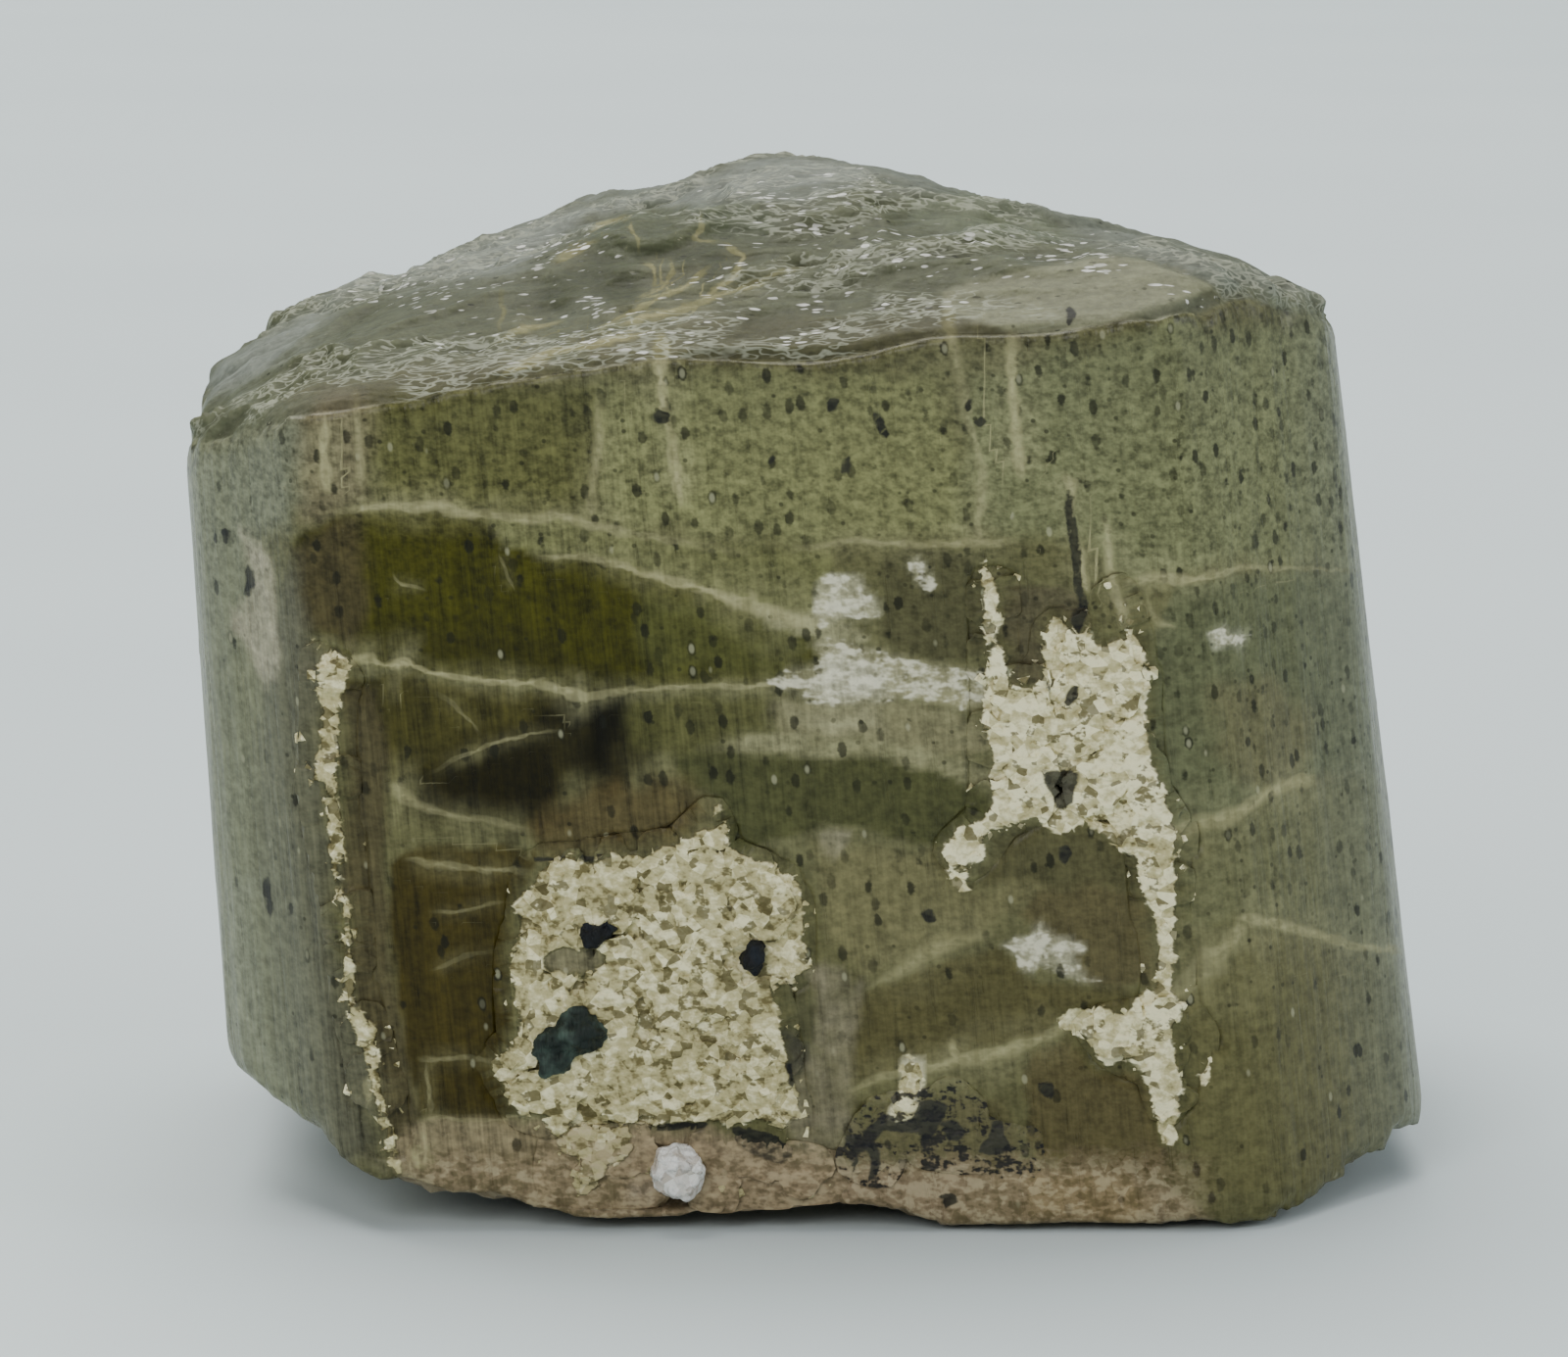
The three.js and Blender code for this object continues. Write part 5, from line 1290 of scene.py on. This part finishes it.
def draw_front(finish, own=None, top=None):
    """What is drawn over the crystal's tones, on the crystal and on its fillings: fibres, mottling, veils,
    specks and sugary feldspar. own is a scattered grain's shade, and top is 1 on the crystal's broken top.

    Gives the colour, the shares that are milky and feldspar, three textures, and the cells of the specks,
    which on the broken top are the smaller ones of its painted glints."""
    fibres = finish.cloud((0.3, 0.3, 5.0), 1.0, 2.0, 0.6)
    threads = finish.cloud((0.12, 0.12, 2.2), 2.0, 1.0, 0.6)
    mottle = finish.cloud((0.4, 0.4, 0.3), 12.0, 2.0, 0.75)
    crumbs = finish.cloud((0.8, 0.8, 0.45), 21.0, 2.0, 0.75)
    coarse, fine = crumbs - 0.5, mottle - 0.5

    # Light and dark: streaks along the crystal, most on the lower left, and mottling, most higher up
    left = finish.x.fade(4.0, -8.0) * finish.x.fade(-19.0, -15.5)
    high = finish.z.fade(20.0, 27.0)
    streaks = fibres.fade(0.25, 0.75) * 0.5 + threads.fade(0.3, 0.7) * 0.3 - 0.4
    light = streaks * (left * 0.55 + high.flip() * 0.3 + 0.2)
    light = light + (mottle.fade(0.25, 0.75) - 0.5) * (high * 0.4 + 0.5) + coarse * 0.85 + 1.0
    crowd = (finish.z + finish.along * 0.6).fade(8.0, 36.0) * 0.6 + 0.15
    if top is not None:
        light = (light - 1) * (top * 0.6).flip() + 1
        crowd = crowd * (top * 0.9).flip()
    body = finish.tint(finish.attribute("tone", "Color"), light)

    # Specks: tiny dark ones, larger ragged dark ones, and a few pale ones
    cells, colour = finish.grains(finish.stretched((0.4, 0.4, 0.36), 26.0))
    pick, odd, rare = finish.channels(colour)
    tiny = cells.fade(0.28, 0.14) * (rare - crowd * 0.7).fade(0.02, -0.02) * (pick * 0.5 + 0.2)
    body = finish.blend(tiny, body, "1c1d12")
    where = finish.stretched((0.6, 0.6, 1.0), 6.0)
    if top is not None:
        glint_cells = finish.stretched((0.55, 0.16, 0.2), 51.0, upright=False)
        where = finish.blend(top.fade(0.49, 0.51), where, glint_cells)
    at, colour = finish.grains(where)
    first, second, third = finish.channels(colour)
    ragged = (at + fine * 0.25).fade(0.32, 0.2)
    ragged = ragged * (second - crowd * 1.15).fade(0.02, -0.02) * (third * 0.5 + 0.35)
    body = finish.blend(ragged, body, "1a1b12")
    body = finish.blend(at.fade(0.22, 0.1) * first.fade(0.86, 0.9) * 0.5, body, "b9b897")

    # The earthy foot of the front
    foot = (finish.z + coarse * 2.4).fade(3.3, 2.3)
    foot = foot * finish.x.fade(15.0, 12.0) * finish.x.fade(-15.0, -12.5)
    pieces = (pick * 0.6 + coarse * 3.4 + fine * 1.4) + 0.2
    earth = finish.blend(pieces.fade(0.05, 0.45), "5f5338", "8f7c60")
    earth = finish.blend(pieces.fade(0.5, 0.95), earth, "c2b392")
    body = finish.blend(foot * 0.55, body, earth)

    # Veils and milky places
    milky = None
    for name in LINES:
        thread = finish.attribute(name).size() + coarse * 3.6 + fine * 1.2
        strength = finish.attribute(name + " shown") * (1.5 if name in ("seams", "hairs") else 1.2)
        shown = thread.fade(1.5, 0.4) * strength.least(1.0)
        milky = shown if milky is None else milky.most(shown)
    veil = finish.blend(fibres, "938e62", "ccc79c")
    body = finish.blend(milky * (crumbs.fade(0.4, 0.65) * 0.45 + 0.4), body, veil)
    milk = (finish.attribute("milk") + coarse * 0.6).fade(-0.06, 0.1)
    rich = (crumbs * 1.4 + fibres * 0.15 + mottle * 0.6).fade(0.85, 1.25)
    body = finish.blend(milk * (rich * 0.6 + 0.12), body, finish.blend(rich, "857f58", "e6e2ca"))
    milky = milky.most(milk)

    # Sugary feldspar, with painted shade in the holes between its grains
    sugar = (finish.attribute("sugar") + coarse * 0.55 + (odd - 0.5) * 0.16).fade(-0.04, 0.06)
    shade = pick * 0.5 + coarse * 0.9 + fine * 1.3 + 0.16 + finish.x.fade(2.0, 5.0) * 0.22
    if own is not None:
        sugar = sugar.most(own.fade(0.01, 0.02))
        shade = shade + own * 0.2
    cream = finish.blend(shade.fade(-0.05, 0.4), "6e6540", "bdb485")
    cream = finish.blend(shade.fade(0.35, 0.9), cream, "f6efc4")
    # Painted shade: darker specks for the holes between grains.
    hole_shade = (odd + fine * 0.9 + coarse * 0.6).fade(0.24, 0.12)
    cream = finish.blend(hole_shade * 0.75, cream, "544d2e")
    body = finish.blend(sugar, body, cream)

    # Dark grains, and painted shade in crevices
    dark = (finish.attribute("dark") + fine * 0.2).fade(-0.05, 0.04)
    grain_black_and_crevice_shade = finish.blend(crumbs.fade(0.35, 0.6), "15161a", "34342b")
    body = finish.blend(dark * 0.92, body, grain_black_and_crevice_shade)
    return body, milky, sugar, (fibres, mottle, crumbs), (at, first, second)


def crystal_finish():
    """Olive scapolite, clear a little way in, with hackles on its broken ends that carry painted light and
    shade, painted sheen and painted glints.
    """
    finish = Finish("clouded olive scapolite")
    top, lift, calm = finish.attribute("top"), finish.attribute("lift"), finish.attribute("calm")
    drawn = draw_front(finish, top=top)
    body, milky, sugar, (fibres, mottle, crumbs), (at, first, second) = drawn

    # The broken top: darker, with painted light and shade following its relief (lighter on crests, darker
    # in hollows), bright lines partly of painted sheen, and painted glints
    waves = finish.cloud((2.4, 0.8, 0.8), 61.0, 2.0, 0.65, upright=False)
    hairs = finish.cloud((0.9, 0.36, 0.36), 63.0, 1.0, 0.6, upright=False)
    ragged = (crumbs - 0.5) * 0.12
    # Long wavy lines along the ridges are painted silvery sheen; the short ones are pale hairline cracks.
    long_sheen_lines = (waves + ragged - 0.5).size().fade(0.035, 0.008)
    short_lines = (hairs + ragged - 0.5).size().fade(0.05, 0.01) * 0.8
    lines = long_sheen_lines.most(short_lines) * (calm + (crumbs - 0.5)).fade(0.3, 0.9) * top
    # Painted light and shade: lighter where the relief lifts, darker in its hollows, and in swells with the
    # waves.
    light = (lift.fade(-0.2, 0.2) - 0.5) * 0.5 + (waves - 0.5) * 0.6 + 1.0
    body = finish.blend(top, body, finish.tint(body, light * 0.62))
    body = finish.blend(lines * 0.6, body, "b9bda8")
    # Painted glints: white specks on the broken top.
    spark = (at + (hairs - 0.5) * 1.4 + (waves - 0.5) * 1.6).fade(0.3, 0.12)
    spark = spark * (first + finish.attribute("painted_glints") * 0.9).fade(1.02, 1.15)
    spark = spark * (second * 0.6 + 0.4) * top
    body = finish.blend(spark, body, "fbfbf4")
    under = finish.blend(mottle, "7b6a55", "a39a84")
    body = finish.blend(finish.attribute("base") * 0.6, body, under)

    clear = finish.along.size().fade(15.0, 21.0).most(finish.z.fade(26.0, 33.0))
    material = finish.shade(
        Base_Color=body,
        Roughness=fibres * 0.2 + milky * 0.25 + top * 0.3 + 0.2 - spark * 0.3,
        IOR=1.56,
        Specular_IOR_Level=0.06,
        Normal=finish.bumps(fibres * 0.8 + waves * top * 3.0, 0.06),
        Transmission_Weight=milky.most(sugar).flip() * (clear * 0.2 + 0.1),
    )
    absorb = finish.tree.nodes.new("ShaderNodeVolumeAbsorption")
    absorb.inputs["Color"].default_value = (0.6, 0.64, 0.15, 1.0)
    absorb.inputs["Density"].default_value = 260.0
    finish.tree.links.new(absorb.outputs[0], finish.out.inputs["Volume"])
    return material


# Sugary feldspar


def feldspar_finish(name, tint=None):
    """Grown-together grains, each a shade of its own, and the crystal where the filling is thin."""
    finish = Finish(name)
    body, _, sugar, (_, mottle, crumbs), _ = draw_front(finish, finish.attribute("shade"))
    body = finish.tint(body, sugar * 0.12 + 0.9)
    if tint is not None:
        share = (crumbs + mottle).fade(0.85, 1.3) * 0.7 + 0.1
        body = finish.blend(share, body, finish.blend(crumbs, *tint))
    return finish.shade(
        Base_Color=body,
        Roughness=mottle * 0.3 + 0.25,
        IOR=1.53,
        Specular_IOR_Level=0.12,
        Normal=finish.bumps((crumbs + mottle * 0.6) * (sugar * 0.8 + 0.2), 0.15),
    )


def grain_tree():
    """A tree that covers the faces looking along a direction with small blocky grains of their own sizes."""
    tree = bpy.data.node_groups.new("scattered grains", "GeometryNodeTree")
    face = tree.interface
    for name, way, kind in (
        ("Geometry", "INPUT", "Geometry"),
        ("Crowding", "INPUT", "Float"),
        ("Smallest", "INPUT", "Float"),
        ("Largest", "INPUT", "Float"),
        ("Sunk", "INPUT", "Float"),
        ("Facing", "INPUT", "Vector"),
        ("Seed", "INPUT", "Int"),
        ("Material", "INPUT", "Material"),
        ("Geometry", "OUTPUT", "Geometry"),
    ):
        face.new_socket(name, in_out=way, socket_type="NodeSocket" + kind)
    new, link = tree.nodes.new, tree.links.new
    given, result = new("NodeGroupInput").outputs, new("NodeGroupOutput").inputs

    def feed(socket, value):
        if isinstance(value, bpy.types.NodeSocket):
            link(value, socket)
        else:
            socket.default_value = value

    def chance_between(kind, low, high, seed):
        """A random number or vector between two, for each point."""
        node = new("FunctionNodeRandomValue")
        node.data_type = kind
        first, second, out = {"FLOAT": (2, 3, 1), "FLOAT_VECTOR": (0, 1, 0)}[kind]
        feed(node.inputs[first], low)
        feed(node.inputs[second], high)
        node.inputs["Seed"].default_value = seed
        return node.outputs[out]

    def vector_math(operation, first, second=None, amount=None, out=0):
        node = new("ShaderNodeVectorMath")
        node.operation = operation
        feed(node.inputs[0], first)
        if second is not None:
            feed(node.inputs[1], second)
        if amount is not None:
            feed(node.inputs["Scale"], amount)
        return node.outputs[out]

    def math_of(operation, first, second):
        node = new("ShaderNodeMath")
        node.operation = operation
        feed(node.inputs[0], first)
        feed(node.inputs[1], second)
        return node.outputs[0]

    # Where the grains are: on faces that look the right way, fewer where the filling is bare
    normal = new("GeometryNodeInputNormal").outputs[0]
    turned = vector_math("DOT_PRODUCT", normal, given["Facing"], out="Value")
    bare = new("GeometryNodeInputNamedAttribute")
    bare.data_type = "FLOAT"
    bare.inputs["Name"].default_value = "bare"
    covered = math_of("SUBTRACT", 1.0, math_of("MULTIPLY", bare.outputs["Attribute"], 0.85))
    spread = new("GeometryNodeDistributePointsOnFaces")
    link(given["Geometry"], spread.inputs["Mesh"])
    link(math_of("GREATER_THAN", turned, 0.3), spread.inputs["Selection"])
    link(math_of("MULTIPLY", given["Crowding"], covered), spread.inputs["Density"])
    link(given["Seed"], spread.inputs["Seed"])
    sink = new("GeometryNodeSetPosition")
    link(spread.outputs["Points"], sink.inputs["Geometry"])
    inward = vector_math("SCALE", given["Facing"], amount=math_of("MULTIPLY", given["Sunk"], -1.0))
    link(inward, sink.inputs["Offset"])

    # What they are: round or blocky, each squeezed and turned its own way
    pebble, block = new("GeometryNodeMeshIcoSphere"), new("GeometryNodeMeshCube")
    pebble.inputs["Radius"].default_value = 1.0
    pebble.inputs["Subdivisions"].default_value = 1
    block.inputs["Size"].default_value = (1.3, 1.6, 1.2)
    kinds = new("GeometryNodeGeometryToInstance")
    link(block.outputs["Mesh"], kinds.inputs[0])
    link(pebble.outputs["Mesh"], kinds.inputs[0])
    size = chance_between("FLOAT", given["Smallest"], given["Largest"], 5)
    squeeze = chance_between("FLOAT_VECTOR", (0.7, 0.7, 0.7), (1.2, 1.2, 1.2), 7)
    place = new("GeometryNodeInstanceOnPoints")
    place.inputs["Pick Instance"].default_value = True
    link(sink.outputs[0], place.inputs["Points"])
    link(kinds.outputs[0], place.inputs["Instance"])
    link(chance_between("FLOAT_VECTOR", (0, 0, 0), (6.28, 6.28, 6.28), 3), place.inputs["Rotation"])
    link(vector_math("SCALE", squeeze, amount=size), place.inputs["Scale"])

    shade = new("GeometryNodeStoreNamedAttribute")
    shade.data_type, shade.domain = "FLOAT", "INSTANCE"
    shade.inputs["Name"].default_value = "shade"
    link(place.outputs[0], shade.inputs["Geometry"])
    value = [socket for socket in shade.inputs if socket.name == "Value" and socket.type == "VALUE"][0]
    link(chance_between("FLOAT", 0.03, 1.0, 9), value)

    real, joined = new("GeometryNodeRealizeInstances"), new("GeometryNodeJoinGeometry")
    dressed = new("GeometryNodeSetMaterial")
    link(shade.outputs[0], real.inputs[0])
    link(given["Geometry"], joined.inputs[0])
    link(real.outputs[0], joined.inputs[0])
    link(joined.outputs[0], dressed.inputs["Geometry"])
    link(given["Material"], dressed.inputs["Material"])
    link(dressed.outputs[0], result[0])
    return tree


def scatter_grains(piece, tree, **wanted):
    """Covers a piece with grains; wanted gives the tree's inputs by name."""
    modifier = piece.modifiers.new("grains", "NODES")
    modifier.node_group = tree
    for item in tree.interface.items_tree:
        if item.item_type == "SOCKET" and item.in_out == "INPUT" and item.name in wanted:
            modifier[item.identifier] = wanted[item.name]
    return settle(piece)


def shape_filling(node, name, side, tree, material, seed):
    """A patch, vein or seam: the solid, grown over its clearance and crowded with sunk grains.

    side is -1 for a filling of the front face and 1 for one of the back."""
    piece = even_skin(copy_of(node, name), FILLING_SKIN)
    mesh = piece.data
    points = read_points(mesh)
    normals = read_normals(mesh)
    spread = SPREAD + SPREAD_RAGGED * layered(points / 0.9, 3, seed + 5)
    sideways = step(0.25, 0.8, 1 - np.abs(normals[:, 1]))
    points[:, 0] += normals[:, 0] * spread * sideways
    points[:, 2] += normals[:, 2] * spread * sideways
    depth = paint_zones(mesh, points, side > 0)
    out, face = points[:, 1] * side, -FRONT
    flush = face - FLUSH + SUGAR_STANDS * step(-0.15, 0.1, depth)
    flush += FILLING_SWELLS * layered(points / 0.5, 2, seed)
    flush -= RIM_SINKS * step(0.48, 0.64, gap_to(node, points, 1.0))
    points[:, 1] = side * np.where(out > face - FACE_DEPTH, np.minimum(out, flush), out)
    write_points(mesh, points)
    store(mesh, {"shade": np.zeros(len(points)), "bare": step(0.2, -0.15, depth)})
    return scatter_grains(
        piece,
        tree,
        Crowding=CROWDING,
        Smallest=SMALLEST_GRAIN * MM,
        Largest=LARGEST_GRAIN * MM,
        Sunk=GRAIN_SINKS * MM,
        Facing=(0.0, float(side), 0.0),
        Seed=seed,
        Material=material,
    )


# Dark and clear grains


def shape_grain(node, name, skin, roughness, seed, wear=GRAIN_ROUNDS):
    """A small crystal with worn corners and stepped, striated faces."""
    piece = even_skin(copy_of(node, name), skin)
    mesh = piece.data
    average = averager(mesh)
    points = average(read_points(mesh), wear)
    write_points(mesh, points)
    normals = average(read_normals(mesh), GRAIN_DIRECTION_ROUNDS)
    bulk = 0.3 * roughness * layered(points / 0.8, 3, seed)
    steps = 0.16 * roughness * (crests(points / (0.5, 0.5, 0.25), 2, seed + 3) - 0.3)
    points += normals * (bulk + steps)[:, None]
    write_points(mesh, inside_box(points))
    mesh.shade_smooth()
    return piece


def cluster_finish():
    """Dark fibrous minerals among paler fibres and crumbs."""
    finish = Finish("dark fibrous cluster")
    body, _, _, (fibres, mottle, crumbs), _ = draw_front(finish)
    own = finish.attribute("shade")
    dark = (crumbs + (mottle - 0.5) * 0.8 + (fibres - 0.5) * 0.4).fade(0.5, 0.38)
    dark = dark.most(own.fade(0.01, 0.02) * own.fade(0.4, 0.35))
    body = finish.blend(own.fade(0.5, 0.6) * 0.6, body, "8d8b76")
    body = finish.blend(dark * 0.9, body, finish.blend(mottle.fade(0.3, 0.7), "0d0f14", "33302a"))
    return finish.shade(
        Base_Color=body,
        Roughness=mottle * 0.3 + 0.35,
        IOR=1.6,
        Specular_IOR_Level=0.2,
        Normal=finish.bumps(crumbs + fibres * 0.6, 0.15),
    )


def dark_finish(name, deep, gleam, bands):
    """A dark glassy mineral with fine striae along bands and a paler colour in patches."""
    finish = Finish(name)
    striae = finish.cloud(bands, 2.0, 3.0, upright=False)
    patches = finish.cloud((0.7, 0.7, 0.7), 4.0, 3.0, upright=False)
    body = finish.blend(patches.fade(0.4, 0.75), deep, gleam)
    return finish.shade(
        Base_Color=finish.tint(body, striae * 0.9 + 0.5),
        Roughness=patches * 0.3 + 0.4,
        IOR=1.6,
        Specular_IOR_Level=0.2,
        Normal=finish.bumps(striae + patches, 0.12),
    )


def quartz_finish():
    """Clear grains, a little milky inside."""
    finish = Finish("clear quartz grain")
    colour = finish.grains(finish.stretched((0.45, 0.45, 0.45), 3.0, upright=False))[1]
    facet, tone = finish.channels(colour)[:2]
    milk = finish.cloud((0.5, 0.5, 0.5), 3.0, 3.0, upright=False).fade(0.35, 0.65)
    body = finish.blend(facet.fade(0.2, 0.8), "c9bdae", "fffdf6")
    return finish.shade(
        Base_Color=finish.blend(milk * 0.5, body, "ffffff"),
        Roughness=tone * 0.3 + 0.1,
        IOR=1.54,
        Normal=finish.bumps(facet + milk * 0.5, 0.25),
        Transmission_Weight=0.15,
    )


# The stage, whose floor and backdrop are in metres
FLOOR_HALF_WIDTH, FLOOR_NEAR, FLOOR_FAR = 1.6, -0.9, 1.1
BACKDROP_HEIGHT, BACKDROP_BEND = 1.2, 0.35
# The soft lights: where each is and points to, its size, its power in watts and its colour
LIGHTS = (
    ("overhead", (-200, 450, 1300), (0, 150, 0), 1200, 26.0, (1.0, 0.98, 0.93)),
    ("front", (-160, -380, 260), (0, 0, 16), 240, 0.9, (1.0, 0.98, 0.95)),
    ("right", (330, -60, 160), (0, 0, 18), 200, 0.4, (0.95, 0.98, 1.0)),
)


def lay_floor():
    """A floor that rises into a backdrop in one smooth curve."""
    bend, start = BACKDROP_BEND, FLOOR_FAR - BACKDROP_BEND
    turns = [math.radians(angle) for angle in range(6, 90, 6)]
    profile = [(FLOOR_NEAR, 0.0), (start, 0.0)]
    profile += [(start + bend * math.sin(turn), bend - bend * math.cos(turn)) for turn in turns]
    profile += [(FLOOR_FAR, bend), (FLOOR_FAR, BACKDROP_HEIGHT)]
    bm = bmesh.new()
    sides = (-FLOOR_HALF_WIDTH, FLOOR_HALF_WIDTH)
    left, right = [[bm.verts.new((x, y, z)) for y, z in profile] for x in sides]
    for k in range(len(profile) - 1):
        bm.faces.new((left[k], right[k], right[k + 1], left[k + 1]))
    mesh = bpy.data.meshes.new("floor")
    bm.to_mesh(mesh)
    bm.free()
    mesh.shade_smooth()
    floor = bpy.data.objects.new("floor", mesh)
    bpy.context.collection.objects.link(floor)
    finish = Finish("pale paper")
    grain = finish.cloud((40.0, 40.0, 40.0), 1.0, 0.0, upright=False)
    mesh.materials.append(finish.shade(Base_Color=finish.blend(grain, "ccd8dc", "d2dee1"), Roughness=0.9))


def light_stage():
    """Daylight from all round, stronger from above and behind, and soft lights in front and at the right."""
    world = bpy.data.worlds.new("daylight")
    world.use_nodes = True
    sky = world.node_tree.nodes["Background"]
    sky.inputs["Color"].default_value = (0.93, 0.97, 1.0, 1.0)
    sky.inputs["Strength"].default_value = 0.28
    bpy.context.scene.world = world
    for name, place, aim, size, power, colour in LIGHTS:
        data = bpy.data.lights.new(name, "AREA")
        data.shape = "SQUARE"
        data.size = size * MM
        data.energy = power
        data.color = colour
        light = bpy.data.objects.new(name, data)
        light.location = Vector(place) * MM
        light.rotation_euler = (Vector(place) - Vector(aim)).to_track_quat("Z", "Y").to_euler()
        bpy.context.collection.objects.link(light)


def dress(piece, material, slot, *nodes):
    """Gives a piece its finish, puts it under the root and hides the CAD nodes that it stands for. slot is
    not used.
    """
    if not piece.data.materials:
        piece.data.materials.append(material)
    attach(piece, "root")
    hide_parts(*nodes)


make_camera()
lay_floor()
light_stage()

dress(shape_crystal(), crystal_finish(), "crystal", "crystal")

cream = feldspar_finish("sugary feldspar")
rosy = feldspar_finish("rosy feldspar", ("7a6848", "c8b592"))
tree = grain_tree()
fibrous = cluster_finish()
for node, name, side, material, slot, seed in (
    ("lower_matrix_patch", "lower_sugar_patch", -1, cream, "feldspar", 11),
    ("upper_matrix_patch", "upper_sugar_patch", -1, cream, "feldspar", 23),
    ("left_matrix_vein", "left_sugar_vein", -1, cream, "feldspar", 31),
    ("base_matrix_seam", "base_sugar_seam", -1, rosy, "rosy_feldspar", 43),
    ("back_matrix_patch", "back_sugar_patch", 1, cream, "feldspar", 57),
    ("dark_base_cluster", "black_cluster", -1, fibrous, "dark_mineral", 71),
):
    dress(shape_filling(node, name, side, tree, material, seed), material, slot, node)

black = dark_finish("black grains", "0b0d10", "1b222b", (0.12, 0.12, 0.6))
green = dark_finish("dark green tablet", "1a2420", "4a5b52", (0.12, 0.6, 0.5))
for node, name, skin, roughness, seed, wear, material, slot in (
    ("dark_grain_left", "left_black_grain", 0.07, 0.9, 3, GRAIN_ROUNDS, black, "dark_mineral"),
    ("dark_grain_right", "right_black_grain", 0.07, 0.9, 5, GRAIN_ROUNDS, black, "dark_mineral"),
    ("back_dark_grain", "back_black_grain", 0.09, 0.9, 7, GRAIN_ROUNDS, black, "dark_mineral"),
    ("dark_tablet", "green_tablet", 0.08, 1.0, 13, GRAIN_ROUNDS, green, "dark_green_mineral"),
    ("clear_grain", "quartz_grain", 0.07, 0.7, 17, 4, quartz_finish(), "quartz"),
):
    dress(shape_grain(node, name, skin, roughness, seed, wear), material, slot, node)
